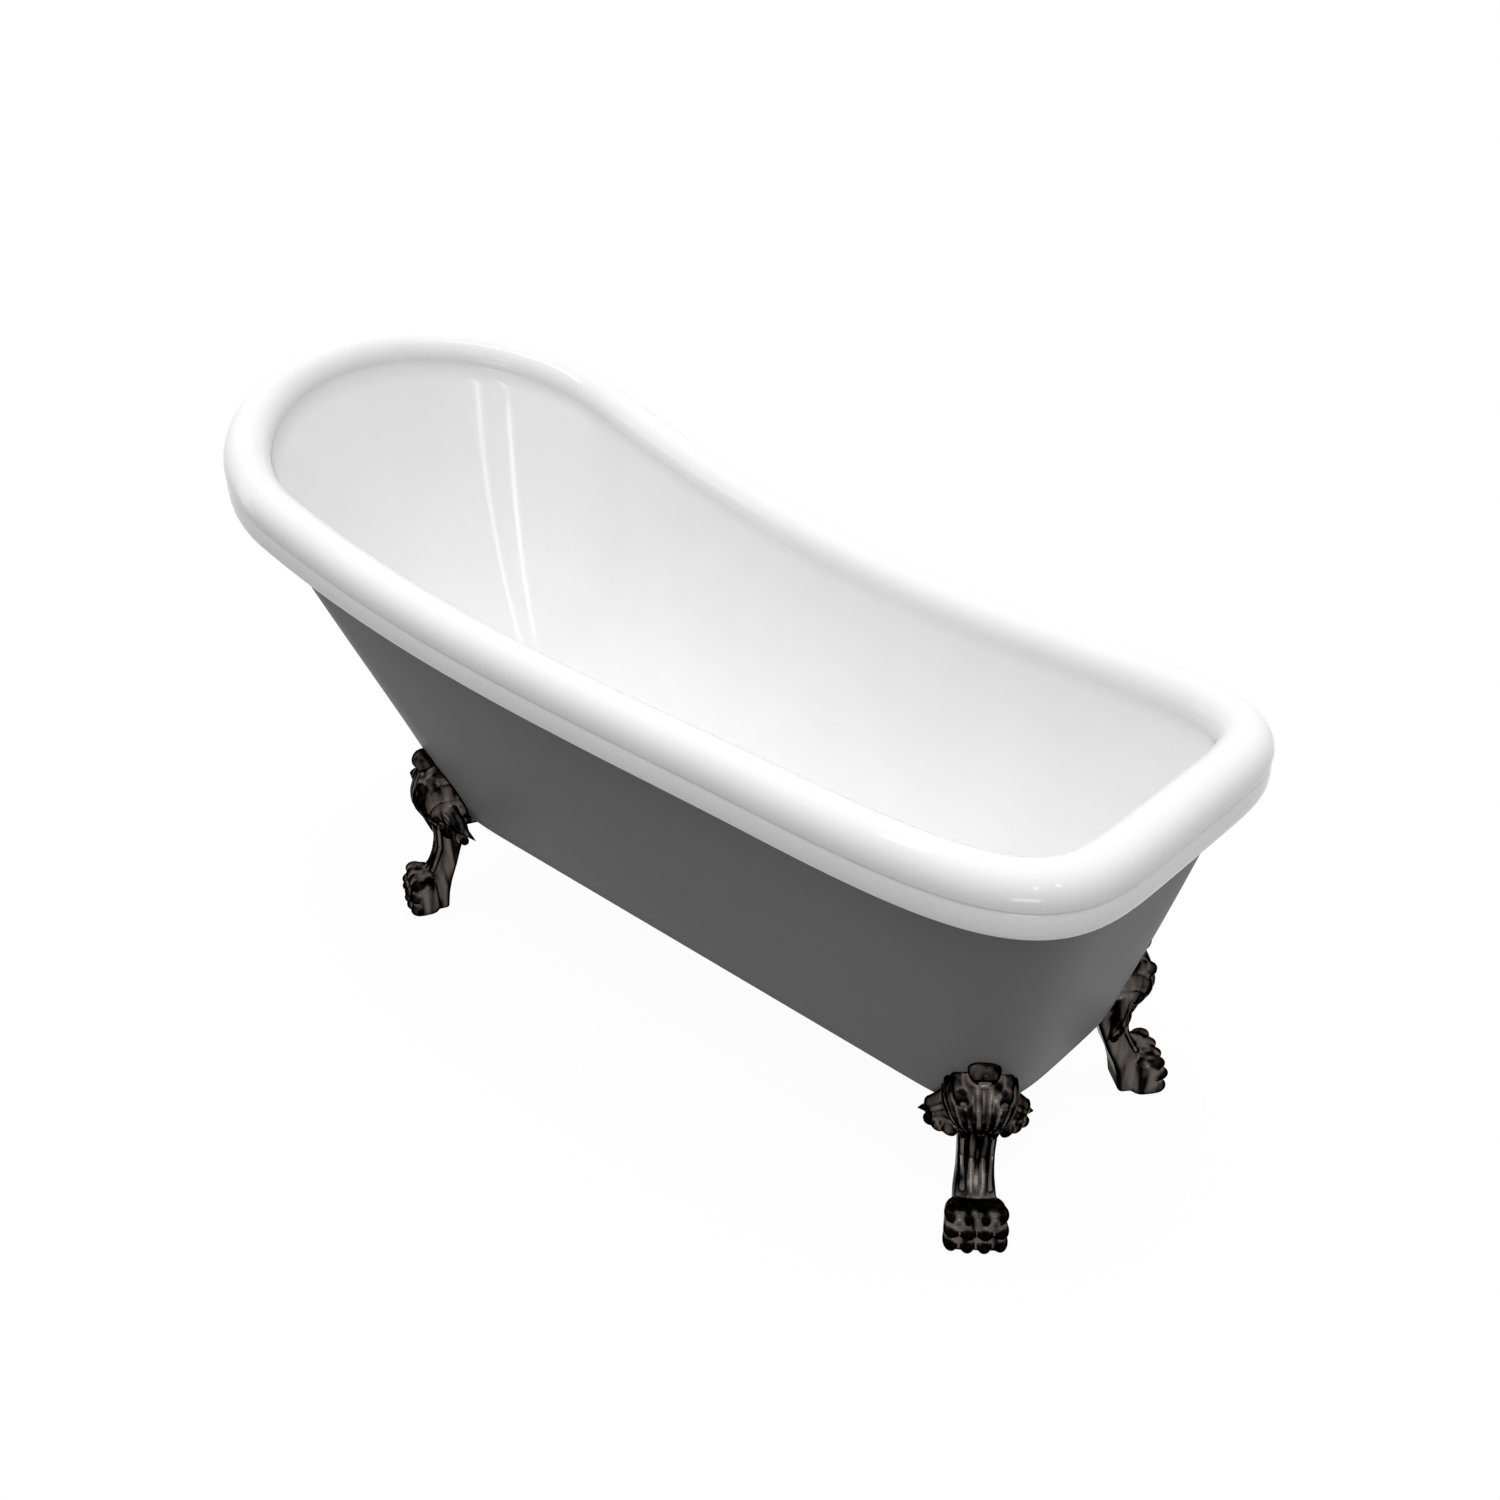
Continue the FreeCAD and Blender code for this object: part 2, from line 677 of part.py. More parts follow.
def foot_casting(crest_top):
    """One claw foot, paw pointing along +X, with its shelf under the bath."""
    body = cup([[section_ring(stretched(height, crest_top), *sizes) for height, *sizes in foot_sections]])
    shelf = Part.makeBox(shelf_end - shelf_start, shelf_width, shelf_thickness,
                         Vector(-shelf_end, -shelf_width / 2.0, skirt_bottom - shelf_thickness))
    leaves = [leaf_wing(1.0, crest_top), leaf_wing(-1.0, crest_top)]
    for part in [shelf] + leaves + crest_lobes(crest_top) + toes():
        body = body.fuse(part)
    body = body.removeSplitter()
    hole = bolt_diameter + 2.0 * bolt_clearance
    drill_start = skirt_bottom - 2.0 * shelf_thickness
    for setback in bolt_setbacks:
        body = body.cut(disc(hole, drill_start, 3.0 * shelf_thickness, -setback))
    recess = level_disc_diameter + 2.0 * level_recess_gap
    recess_height = level_pad_height + level_disc_height
    body = body.cut(disc(recess, -cutter_margin, recess_height + cutter_margin, -level_setback))
    bore = level_stud_diameter + 2.0 * running_gap
    return body.cut(disc(bore, 0.0, recess_height + level_stud_length + bore_margin, -level_setback))


def leveller():
    """Levelling screw: a stud with a disc that bears on the rubber pad."""
    plate = disc(level_disc_diameter, level_pad_height, level_disc_height, -level_setback)
    stud_bottom = level_pad_height + level_disc_height
    stud = disc(level_stud_diameter, stud_bottom, level_stud_length, -level_setback)
    return plate.fuse(stud).removeSplitter()


def level_pad():
    return disc(level_disc_diameter, 0.0, level_pad_height, -level_setback)


# ---------------------------------------------------------------- waste

def waste_body():
    """Threaded body with the flange that shows in the bath and a bridge for the stem."""
    bore = waste_bore - 2.0 * waste_wall
    bottom = waste_tee_bottom + tail_socket
    barrel = tube(waste_bore, bore, bottom, floor_height - bottom, waste_x)
    flange = tube(waste_flange_diameter, bore, floor_height, waste_flange_height, waste_x)
    seat_diameter = plug_diameter + 2.0 * plug_gap
    seat = disc(seat_diameter, floor_height + waste_seat_depth, waste_flange_height, waste_x)
    bridge_z = floor_height - bridge_drop
    bridge = Part.makeBox(bore + waste_wall, bridge_width, bridge_height,
                          Vector(waste_x - (bore + waste_wall) / 2.0, -bridge_width / 2.0, bridge_z))
    boss = disc(plug_stem_diameter + 2.0 * bridge_boss_wall, bridge_z, bridge_height, waste_x)
    body = barrel.fuse(flange).cut(seat).fuse(bridge).fuse(boss)
    stem_hole = drill(plug_stem_diameter + 2.0 * running_gap, bridge_z, bridge_height, waste_x)
    return body.cut(stem_hole).removeSplitter()


def port_height():
    """Height at which the overflow hose meets the waste, clear below the nut."""
    return basin_bottom - waste_gasket_height - waste_nut_height - hose_diameter / 2.0 - port_drop


def waste_gasket():
    bottom = basin_bottom - waste_gasket_height
    return tube(waste_nut_diameter, waste_bore, bottom, waste_gasket_height, waste_x)


def waste_nut():
    """Ring nut with finger grips round its edge."""
    bottom = basin_bottom - waste_gasket_height - waste_nut_height
    radius = waste_nut_diameter / 2.0
    grips = []
    for i in range(nut_grips):
        angle = 2.0 * math.pi * (i + 0.5) / nut_grips
        x, y = waste_x + radius * math.cos(angle), radius * math.sin(angle)
        grips.append(disc(nut_grip_diameter, bottom, waste_nut_height, x, y))
    ring = tube(waste_nut_diameter, waste_bore, bottom, waste_nut_height, waste_x)
    return ring.cut(Part.makeCompound(grips))


def waste_tail():
    """Tail that screws on the waste body and leads down through the outer skin."""
    socket_outer = waste_bore + 2.0 * waste_wall
    bottom = waste_tee_bottom
    top = basin_bottom - waste_gasket_height - waste_nut_height
    socket = disc(socket_outer, bottom, top - bottom, waste_x)
    spout = disc(tail_diameter, tail_end, bottom - tail_end, waste_x)
    body = socket.fuse(spout)
    body = body.cut(disc(waste_bore, bottom + tail_socket, top, waste_x))
    bore_height = bottom + tail_socket - tail_end
    body = body.cut(disc(tail_diameter - 2.0 * tail_wall, tail_end, bore_height, waste_x))
    port = Part.makeCylinder(hose_diameter / 2.0 - hose_wall, socket_outer,
                             Vector(waste_x, 0.0, port_height()), Vector(1.0, 0.0, 0.0))
    return body.cut(port)


def waste_plug():
    """Plug with its guide stem, which lifts to open."""
    seat = floor_height + waste_seat_depth
    head = disc(plug_diameter, seat, plug_height, waste_x)
    edge = [e for e in head.Edges if abs(e.BoundBox.ZMin - seat - plug_height) < 0.01 and e.Closed]
    head = head.makeFillet(plug_rounding, edge[:1])
    stem_bottom = floor_height - bridge_drop - plug_lift - plug_stem_spare
    stem = disc(plug_stem_diameter, stem_bottom, seat - stem_bottom, waste_x)
    return head.fuse(stem).removeSplitter()


def plug_seal():
    bore = waste_bore - 2.0 * waste_wall - 2.0 * plug_gap
    bottom = floor_height + waste_seat_depth - plug_seal_width
    return tube(bore, bore - 2.0 * plug_seal_width, bottom, plug_seal_width, waste_x)


# ---------------------------------------------------------------- overflow

def overflow_gasket():
    diameter = overflow_cover_diameter - 2.0 * overflow_gasket_inset
    ring = tube(diameter, overflow_bore, -overflow_gasket_depth, 2.0 * overflow_gasket_depth)
    return overflow_part(ring).cut(basin())


def overflow_cover():
    """Round cover on the foot-end wall, with a slot along its lower edge."""
    cover = disc(overflow_cover_diameter, overflow_gasket_depth, overflow_cover_depth)
    rim_edge = [e for e in cover.Edges if e.Closed and abs(e.BoundBox.ZMin - overflow_gasket_depth
                                                           - overflow_cover_depth) < 0.01]
    cover = cover.makeFillet(overflow_cover_rounding, rim_edge[:1])
    inner_depth = overflow_cover_depth - overflow_cover_wall
    hollow = disc(overflow_cover_diameter - 2.0 * overflow_cover_wall, overflow_gasket_depth, inner_depth)
    slot = Part.makeBox(overflow_slot[1] * 2.0, overflow_slot[0], overflow_slot[1],
                        Vector(overflow_cover_diameter / 2.0 - overflow_slot[1], -overflow_slot[0] / 2.0,
                               overflow_gasket_depth))
    pillar_diameter = overflow_screw_diameter + 2.0 * overflow_pillar_wall
    pillar = disc(pillar_diameter, overflow_gasket_depth, inner_depth)
    cover = cover.cut(hollow).cut(slot).fuse(pillar)
    cover = cover.cut(disc(overflow_screw_diameter, 0.0, overflow_cover_depth * 2.0)).cut(screw_head())
    return overflow_part(cover.removeSplitter())


def screw_head():
    """Countersunk head, flush with the overflow cover's face."""
    bottom = overflow_gasket_depth + overflow_cover_depth - overflow_head_height
    return Part.makeCone(overflow_screw_diameter / 2.0, overflow_head_diameter / 2.0,
                         overflow_head_height, Vector(0.0, 0.0, bottom))


def overflow_screw():
    length = overflow_gasket_depth + overflow_cover_depth + basin_wall + overflow_body_depth / 2.0
    shank = disc(overflow_screw_diameter, -basin_wall - overflow_body_depth / 2.0, length)
    return overflow_part(shank.fuse(screw_head()).removeSplitter())


def overflow_body():
    """Moulded elbow clamped behind the wall, with its outlet pointing down."""
    back = -overflow_body_depth - basin_wall
    body = disc(overflow_body_diameter, back, overflow_body_depth)
    cavity = disc(overflow_bore, back + overflow_body_wall, overflow_body_depth)
    web_diameter = overflow_screw_diameter + 2.0 * overflow_web_wall
    web = disc(web_diameter, back, overflow_body_depth - overflow_web_gap)
    screw_hole = disc(overflow_screw_diameter, back + overflow_body_depth / 2.0, overflow_body_depth)
    body = body.cut(cavity).fuse(web).cut(screw_hole)
    body = overflow_part(body.removeSplitter())
    return body.cut(basin()).cut(hose_solid(hose_diameter))


def rounded_path(points, radius):
    """Wire along straight lines between points, with every inner corner rounded."""
    edges = []
    last = points[0]
    for before, corner, after in zip(points, points[1:], points[2:]):
        arriving = (corner - before).normalize()
        leaving = (after - corner).normalize()
        half_turn = math.acos(arriving.dot(leaving)) / 2.0
        setback = radius * math.tan(half_turn)
        bend_start = corner - arriving * setback
        bend_end = corner + leaving * setback
        to_middle = (leaving - arriving).normalize()
        bend_middle = corner + to_middle * (radius / math.cos(half_turn) - radius)
        edges += [Part.makeLine(last, bend_start), Part.Arc(bend_start, bend_middle, bend_end).toShape()]
        last = bend_end
    return Part.Wire(edges + [Part.makeLine(last, points[-1])])


def hose_path():
    """Centre line down between the skins, over the drain rail and down to the waste's side port."""
    start = overflow_place().multVec(Vector(0.0, 0.0, -basin_wall - overflow_body_depth / 2.0))
    start = start - Vector(0.0, 0.0, overflow_body_diameter / 2.0 - hose_insertion)
    over_rail = board_bottom + hose_diameter / 2.0 + hose_rail_gap
    rail_x = sum(p.x for p in bolt_points(("drain",))) / len(bolt_points(("drain",)))
    return rounded_path([start, Vector(hose_corner_x, 0.0, over_rail),
                         Vector(rail_x - rail_tube_width / 2.0, 0.0, over_rail),
                         Vector(waste_x, 0.0, port_height())], hose_bend)


def hose_solid(diameter):
    path = hose_path()
    start = path.Edges[0]
    section = Part.Wire(Part.makeCircle(diameter / 2.0, start.valueAt(start.FirstParameter),
                                        start.tangentAt(start.FirstParameter)))
    return path.makePipeShell([section], True, False)


def overflow_hose():
    hose = hose_solid(hose_diameter).cut(hose_solid(hose_diameter - 2.0 * hose_wall))
    waste = disc(waste_bore + 2.0 * waste_wall, skirt_bottom, basin_bottom - skirt_bottom, waste_x)
    return hose.cut(waste)


# ---------------------------------------------------------------- write the pieces

def save(name, shape):
    solids = shape.Solids
    assert solids and shape.isValid(), name
    if len(solids) == 1:
        shape = solids[0]
    shape.exportStep("parts/" + name + ".step")
    print("%-22s %2d solid(s) %12.0f mm3" % (name, len(solids), shape.Volume))


os.makedirs("parts", exist_ok=True)
pieces = {
    "basin": basin, "rim_band": rim_band, "outer_skirt": outer_skirt, "base_board": base_board,
    "head_rail": lambda: cross_rail("head"), "drain_rail": lambda: cross_rail("drain"),
    "foot_bolts": foot_bolts, "foot_washers": foot_washers, "foot_nuts": foot_nuts,
    "waste_body": waste_body, "waste_gasket": waste_gasket, "waste_nut": waste_nut,
    "waste_tail": waste_tail, "waste_plug": waste_plug, "plug_seal": plug_seal,
    "overflow_cover": overflow_cover, "overflow_gasket": overflow_gasket,
    "overflow_screw": overflow_screw, "overflow_body": overflow_body, "overflow_hose": overflow_hose,
}
for name, make in pieces.items():
    save(name, make())
castings = {"head": foot_casting(head_crest), "drain": foot_casting(drain_crest)}
screw, pad, bath_side = leveller(), level_pad(), skin_envelope(foot_skin_gap)
for name, point, angle in foot_places():
    save("foot_" + name, at_foot(castings[name.split("_")[0]], point, angle).cut(bath_side))
    save("level_screw_" + name, at_foot(screw, point, angle))
    save("level_pad_" + name, at_foot(pad, point, angle))
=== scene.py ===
"""Dresses the claw-foot slipper bath: white acrylic shell and rim, satin grey outer skin and
sculpted black-chrome feet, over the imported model. Pieces are shaped in millimetres in the
model's own frame: Z up from the floor, X towards the low foot end."""

import json
import math

import bpy
import numpy as np
from mathutils import Matrix, Vector


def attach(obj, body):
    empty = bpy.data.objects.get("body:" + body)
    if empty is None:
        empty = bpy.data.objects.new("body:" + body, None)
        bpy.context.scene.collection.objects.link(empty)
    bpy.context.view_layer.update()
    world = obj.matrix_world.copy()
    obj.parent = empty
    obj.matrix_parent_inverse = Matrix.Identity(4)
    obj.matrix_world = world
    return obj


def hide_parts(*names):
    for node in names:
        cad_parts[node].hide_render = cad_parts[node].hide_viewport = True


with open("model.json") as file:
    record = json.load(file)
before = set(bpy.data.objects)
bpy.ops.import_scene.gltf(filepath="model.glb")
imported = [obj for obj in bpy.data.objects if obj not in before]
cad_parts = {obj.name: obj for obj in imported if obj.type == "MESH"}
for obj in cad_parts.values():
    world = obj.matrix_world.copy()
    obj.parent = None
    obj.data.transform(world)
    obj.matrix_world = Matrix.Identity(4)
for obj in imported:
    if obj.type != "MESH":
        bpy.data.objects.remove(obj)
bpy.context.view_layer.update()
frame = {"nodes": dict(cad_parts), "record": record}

MM = 0.001

# ---- the bath's rim, as the solids have it ----
roll_radius = 33.0
rim_half_length = 775.0
rail_ends = (roll_radius - rim_half_length, rim_half_length - roll_radius)
rail_half_widths = (320.0, 257.0)          # raised end, low end
rail_curves = (268.0, 524.0)               # how far in from each end its curve reaches
rail_powers = (2.0, 5.8)                   # and how square the curve is; 2 is an ellipse
taper = (-600.0, 400.0)                    # where the sides narrow from one width to the other
rim_low_height = 511.0
slipper_rise = 225.0
slipper_start = 600.0
slipper_power = 2.75
seam_height = 35.0
roll_centre = 40.0
roll_inner_turn = 15.0
band_n = 30.4                              # "n" is a distance out from the rim's rail
skirt_top_n = 6.0
band_ledge = 26.0
band_wall = 8.0
# the band's face from the roll down: distance out from the rail, height above its lower edge
band_face = ((band_n - 1.6, 35.2), (band_n - 0.2, 34.2), (band_n + 1.0, 31.0), (band_n + 2.0, 26.0),
             (33.0, 20.0), (33.0, 14.0), (32.7, 9.0), (32.0, 5.0), (31.0, 2.0), (29.6, 0.4), (28.2, 0.0))

# ---- outer skin and bathing shell ----
skirt_ends = (-456.0, 654.4)
skirt_half_width = 169.4
skirt_curves = (252.0, 140.0)
skirt_powers = (3.54, 4.0)
skirt_bottom = 165.0
skirt_edge = 6.0
skirt_wall = 5.0
skirt_floor_inset = 1.0                    # the skin's inner bottom inside its inner wall
skirt_belly = 0.13
floor_ends = (-360.0, 545.0)
floor_half_width = 108.0
floor_curves = (150.0, 150.0)
floor_powers = (2.4, 2.4)
floor_height = 220.0
shell_wall = 7.0
wall_flare = (0.35, 0.62)                  # handles of the wall's curve: across, then up
wall_lift = (0.0, 0.42)

# ---- feet: where the paws stand, and which way they point ----
feet = {"head_near": ((-399.0, -229.0), -115.0), "head_far": ((-399.0, 229.0), 115.0),
        "drain_near": ((661.0, -192.0), -50.0), "drain_far": ((661.0, 192.0), 50.0)}
sole_height = 2.0
own_crest_top = 284.0                      # height that the foot is drawn at
crest_tops = {"head": 284.0, "drain": 262.0}
skin_bite = 3.0                            # how far a foot's back goes into the skin's face
screw_setback = 8.0                        # levelling screw behind the paw's middle
recess_radius, recess_top = 17.5, 9.0      # room for its disc and pad
bore_radius, bore_top = 6.4, 44.0          # and for its stud
shelf_middle = -113.0                      # plate for the bolts: its middle, behind the paw's
shelf_half = (47.0, 28.0, 7.0)             # and half its length, width and thickness
# the skin's face behind a foot: how far out from the paw's middle, lean, sideways tilt and bow
behind_feet = {"head": (-78.0, 0.377, -0.13, 0.0018), "drain": (-55.1, 0.316, -0.02, 0.0082)}
# the casting's outline: height, back, widest place, front, half width and squareness
foot_stations = (
    (2.0, -38.0, -14.0, 6.0, 25.0, 4.0), (30.0, -42.0, -16.0, 8.0, 26.0, 4.0),
    (52.0, -48.0, -24.0, 0.0, 26.0, 4.0), (66.0, -54.0, -34.0, -10.0, 24.5, 3.5),
    (80.0, -60.0, -42.0, -19.0, 23.0, 3.2), (95.0, -65.0, -47.0, -26.0, 22.5, 3.5),
    (115.0, -72.0, -52.0, -31.0, 22.5, 3.5), (140.0, -80.0, -56.0, -32.0, 24.0, 3.5),
    (156.0, -86.0, -56.0, -30.0, 26.0, 3.2), (163.0, -112.0, -56.0, -27.0, 28.0, 3.0),
    (173.0, -120.0, -54.0, -19.0, 32.0, 2.6), (185.0, -120.0, -52.0, -12.0, 38.0, 2.3),
    (198.0, -120.0, -50.0, -8.0, 41.0, 2.2), (213.0, -120.0, -50.0, -9.0, 42.5, 2.2),
    (226.0, -120.0, -50.0, -14.0, 40.0, 2.2), (240.0, -120.0, -50.0, -20.0, 35.0, 2.2),
    (250.0, -120.0, -50.0, -25.0, 28.0, 2.2), (258.0, -120.0, -52.0, -34.0, 18.0, 2.2),
    (270.0, -120.0, -54.0, -42.0, 10.0, 2.2), (280.0, -120.0, -56.0, -48.0, 3.0, 2.2))
back_rounding = 6.0
fan_root = 112.0                           # height that the fan's hollows spread from
fan_pitch = math.radians(6.6)
fan_depth = 3.2
fan_ends = (160.0, 262.0)                  # heights of its foot and its top
fan_fades = (14.0, 16.0)                   # how far its hollows take to deepen from each
toe_sides = (10.0, 29.0)
toe_splay = 0.16                           # how much further back the outer toes stand
toe_blend = 3.0
# a toe's upper knuckle, lower knuckle and tip: front, height and radii
toe_balls = ((9.0, 58.0, (13.0, 9.6, 9.0)), (16.0, 38.0, (13.5, 10.0, 10.5)),
             (14.0, 15.0, (15.0, 10.0, 13.0)))

# ---- how finely the pieces are cut ----
ring_points = 360
rail_samples = 6001
roll_steps = 30
wall_steps = 36
skirt_steps = 24
skirt_edge_steps = 6
fill_shares = (0.9, 0.6, 0.3, 0.08)        # rings across a level face
sharp_edge = math.radians(40.0)
foot_sharp_edge = math.radians(75.0)
foot_grain = 1.5                           # millimetres between samples of the foot's form
foot_low, foot_high = (-162.0, -82.0, -1.0), (40.0, 82.0)   # the block that the form is sampled in
foot_headroom = 4.0                        # and how far that goes above the crest
station_top, station_blur = 300, 9         # heights sampled, and how many are averaged
easing_rounds, easing_strength = 2, 0.5

# ---- floor and light ----
sky_stops = ((0.0, 0.04), (0.5, 0.18), (1.0, 2.25))    # height as a sine, brightness
floor_reach = 60.0                         # metres
floor_tone = 0.30                          # in the light that bounces on
floor_glow, floor_glow_share = 1.12, 0.86  # where it is looked at


# ------------------------------------------------------------------ rings round the bath

def plan_half_width(x, ends, half_widths, curves, powers):
    """Half the width of a plan outline at stations x."""
    share = np.clip((x - taper[0]) / (taper[1] - taper[0]), 0.0, 1.0)
    width = half_widths[0] + (half_widths[1] - half_widths[0]) * share * share * (3.0 - 2.0 * share)
    for inside, curve, power in zip((ends[0] + curves[0] - x, x - ends[1] + curves[1]), curves, powers):
        reach = np.clip(inside / curve, 0.0, 1.0)
        width = width * (1.0 - reach ** power) ** (1.0 / power)
    return width


def plan_rail(ends, half_widths, curves, powers):
    """Evenly spaced points round a plan outline, with the outward direction at each."""
    turn = np.linspace(0.0, math.pi, rail_samples)
    xs = (ends[0] + ends[1]) / 2.0 - (ends[1] - ends[0]) / 2.0 * np.cos(turn)
    ys = -plan_half_width(xs, ends, half_widths, curves, powers)
    run = np.concatenate([[0.0], np.cumsum(np.hypot(np.diff(xs), np.diff(ys)))])
    half = ring_points // 2
    at = run[-1] * np.arange(half + 1) / half
    x, y = np.interp(at, run, xs), np.interp(at, run, ys)
    step = run[-1] / half * 0.5
    ahead, behind = np.minimum(at + step, run[-1]), np.maximum(at - step, 0.0)
    along_x = np.interp(ahead, run, xs) - np.interp(behind, run, xs)
    along_y = np.interp(ahead, run, ys) - np.interp(behind, run, ys)
    along_x[0] = along_x[-1] = 0.0
    length = np.hypot(along_x, along_y)
    out_x, out_y = along_y / length, -along_x / length
    near = np.stack([x, y, out_x, out_y], axis=1)
    far = near[-2:0:-1] * np.array([1.0, -1.0, 1.0, -1.0])
    return np.concatenate([near, far])


rim_rail = plan_rail(rail_ends, rail_half_widths, rail_curves, rail_powers)
skirt_rail = plan_rail(skirt_ends, (skirt_half_width,) * 2, skirt_curves, skirt_powers)
floor_rail = plan_rail(floor_ends, (floor_half_width,) * 2, floor_curves, floor_powers)


def rim_ring(out, up):
    """Ring at a distance outwards from the rim's rail and above the rim's lower edge."""
    rise = np.clip((slipper_start - rim_rail[:, 0]) / (slipper_start - rail_ends[0]), 0.0, None)
    height = rim_low_height + slipper_rise * rise ** slipper_power + up
    return ring_at(rim_rail, out, height)


def level_ring(rail, out, height):
    """Ring at one height, at a distance outwards from a rail."""
    return ring_at(rail, out, np.full(len(rail), height))


def ring_at(rail, out, heights):
    """Ring at its own height over each point of a rail."""
    return np.column_stack([rail[:, 0] + rail[:, 2] * out, rail[:, 1] + rail[:, 3] * out, heights])


def between(low, high, across, up):
    """Ring part of the way from one to another: one share across, another up."""
    share = np.array([across, across, up])
    return low + (high - low) * share


def bezier(share, second, third):
    """Cubic curve from 0 to 1 with two handles."""
    rest = 1.0 - share
    return 3.0 * rest * rest * share * second + 3.0 * rest * share * share * third + share ** 3


def roll_rings(radius, start, end, steps):
    """Rings along the rolled edge, by angle above the outward horizontal."""
    angles = np.radians(np.linspace(start, end, steps + 1))
    return [rim_ring(radius * math.cos(a), roll_centre + radius * math.sin(a)) for a in angles]


def flat_rings(ring):
    """Rings that fill a level outline, drawing in to its middle line."""
    spine = ring.copy()
    inset = ring[:, 1].max()
    spine[:, 0] = np.clip(ring[:, 0], ring[:, 0].min() + inset, ring[:, 0].max() - inset)
    spine[:, 1] = 0.0
    return [spine + (ring - spine) * share for share in fill_shares]


def made_object(name, points, faces, sharp=sharp_edge):
    """Mesh object from points in millimetres, shaded smooth except at sharp edges."""
    mesh = bpy.data.meshes.new(name)
    mesh.from_pydata((np.asarray(points) * MM).tolist(), [], faces)
    mesh.validate()
    mesh.shade_smooth()
    mesh.set_sharp_from_angle(angle=sharp)
    made = bpy.data.objects.new(name, mesh)
    bpy.context.scene.collection.objects.link(made)
    return made


def ring_object(name, rings, closed=False):
    """Skin through a stack of rings; open stacks are capped at both ends."""
    count = len(rings[0])
    stack = range(len(rings)) if closed else range(len(rings) - 1)
    faces = []
    for r in stack:
        base, above = r * count, (r + 1) % len(rings) * count
        for i in range(count):
            onward = (i + 1) % count
            faces.append((base + i, base + onward, above + onward, above + i))
    if not closed:
        last = (len(rings) - 1) * count
        faces += [tuple(range(count - 1, -1, -1)), tuple(range(last, last + count))]
    return made_object(name, np.concatenate(rings), faces)


def bathing_shell():
    """Floor, flowing walls and the rolled edge, with the shell's back."""
    def flowing(low, high, shares):
        return [between(low, high, bezier(s, *wall_flare), bezier(s, *wall_lift)) for s in shares]

    floor_ring = level_ring(floor_rail, 0.0, floor_height)
    under_ring = level_ring(floor_rail, 0.0, floor_height - shell_wall)
    inner_radius = roll_radius - shell_wall
    seam = math.degrees(math.asin((roll_centre - seam_height) / roll_radius))
    inner_seam = math.degrees(math.asin((roll_centre - seam_height) / inner_radius))
    roll = roll_rings(roll_radius, 180.0 + roll_inner_turn, -seam, roll_steps)
    lining = roll_rings(inner_radius, -inner_seam, 180.0 + roll_inner_turn, roll_steps // 2)
    shares = np.linspace(0.0, 1.0, wall_steps + 1)
    wall = flowing(floor_ring, roll[0], shares)
    back = flowing(under_ring, lining[-1], shares[::-2])
    rings = (flat_rings(floor_ring)[::-1] + wall + roll[1:] + lining + back[1:]
             + flat_rings(under_ring))
    return ring_object("bathing_shell", rings)


def rim_under_band():
    """Band that closes the roll on the outside: a shadow line, a soft bulge and a thin lower lip."""
    inner_n = skirt_top_n - band_wall
    inside = ((skirt_top_n, 0.0), (skirt_top_n, band_ledge),
              (inner_n, band_ledge), (inner_n, seam_height))
    rings = [rim_ring(out, up) for out, up in band_face + inside]
    return ring_object("rim_under_band", rings, closed=True)


def outer_skin():
    """Tapering grey skin with a rounded lower edge and a flat bottom."""
    wall_low = skirt_bottom + skirt_edge
    low, top = level_ring(skirt_rail, 0.0, wall_low), rim_ring(skirt_top_n, band_ledge)
    inner_low = level_ring(skirt_rail, -skirt_wall, wall_low)
    inner_top = rim_ring(skirt_top_n - skirt_wall, band_ledge)

    def wall(a, b):
        shares = np.linspace(0.0, 1.0, skirt_steps + 1)
        return [between(a, b, s + skirt_belly * s * (1.0 - s), s) for s in shares]

    edge = []
    for turn in np.radians(np.linspace(0.0, 90.0, skirt_edge_steps + 1)):
        inset, drop = skirt_edge * (1.0 - math.cos(turn)), skirt_edge * math.sin(turn)
        edge.append(level_ring(skirt_rail, -inset, wall_low - drop))
    inner_floor = level_ring(skirt_rail, -skirt_wall - skirt_floor_inset, skirt_bottom + skirt_wall)
    rings = (flat_rings(edge[-1])[::-1] + edge[::-1] + wall(low, top)[1:]
             + wall(inner_low, inner_top)[::-1] + [inner_floor] + flat_rings(inner_floor))
    return ring_object("outer_skin", rings)


# ------------------------------------------------------------------ claw foot

def ball(p, centre, radii):
    """Distance to an ellipsoid."""
    q = [(a - c) / r for a, c, r in zip(p, centre, radii)]
    near = np.sqrt(q[0] ** 2 + q[1] ** 2 + q[2] ** 2)
    slope = np.sqrt(sum((a / r) ** 2 for a, r in zip(q, radii))) + 1e-6
    return near * (near - 1.0) / slope


def limb(p, start, end, r_start, r_end, flat=(1.0, 1.0, 1.0)):
    """Distance to a tapering round bar, thinned along any axis by flat."""
    q = [a * f for a, f in zip(p, flat)]
    s = [np.float32(a * f) for a, f in zip(start, flat)]
    e = [np.float32(a * f) for a, f in zip(end, flat)]
    d = [b - a for a, b in zip(s, e)]
    share = sum((a - b) * c for a, b, c in zip(q, s, d)) / sum(c * c for c in d)
    share = np.clip(share, 0.0, 1.0)
    gap = np.sqrt(sum((a - b - c * share) ** 2 for a, b, c in zip(q, s, d)))
    return (gap - (r_start + (r_end - r_start) * share)) / max(flat)


def block(p, centre, half, rounding):
    """Distance to a box with rounded edges."""
    q = [np.maximum(abs(a - c) - h + rounding, 0.0) for a, c, h in zip(p, centre, half)]
    return np.sqrt(q[0] ** 2 + q[1] ** 2 + q[2] ** 2) - rounding


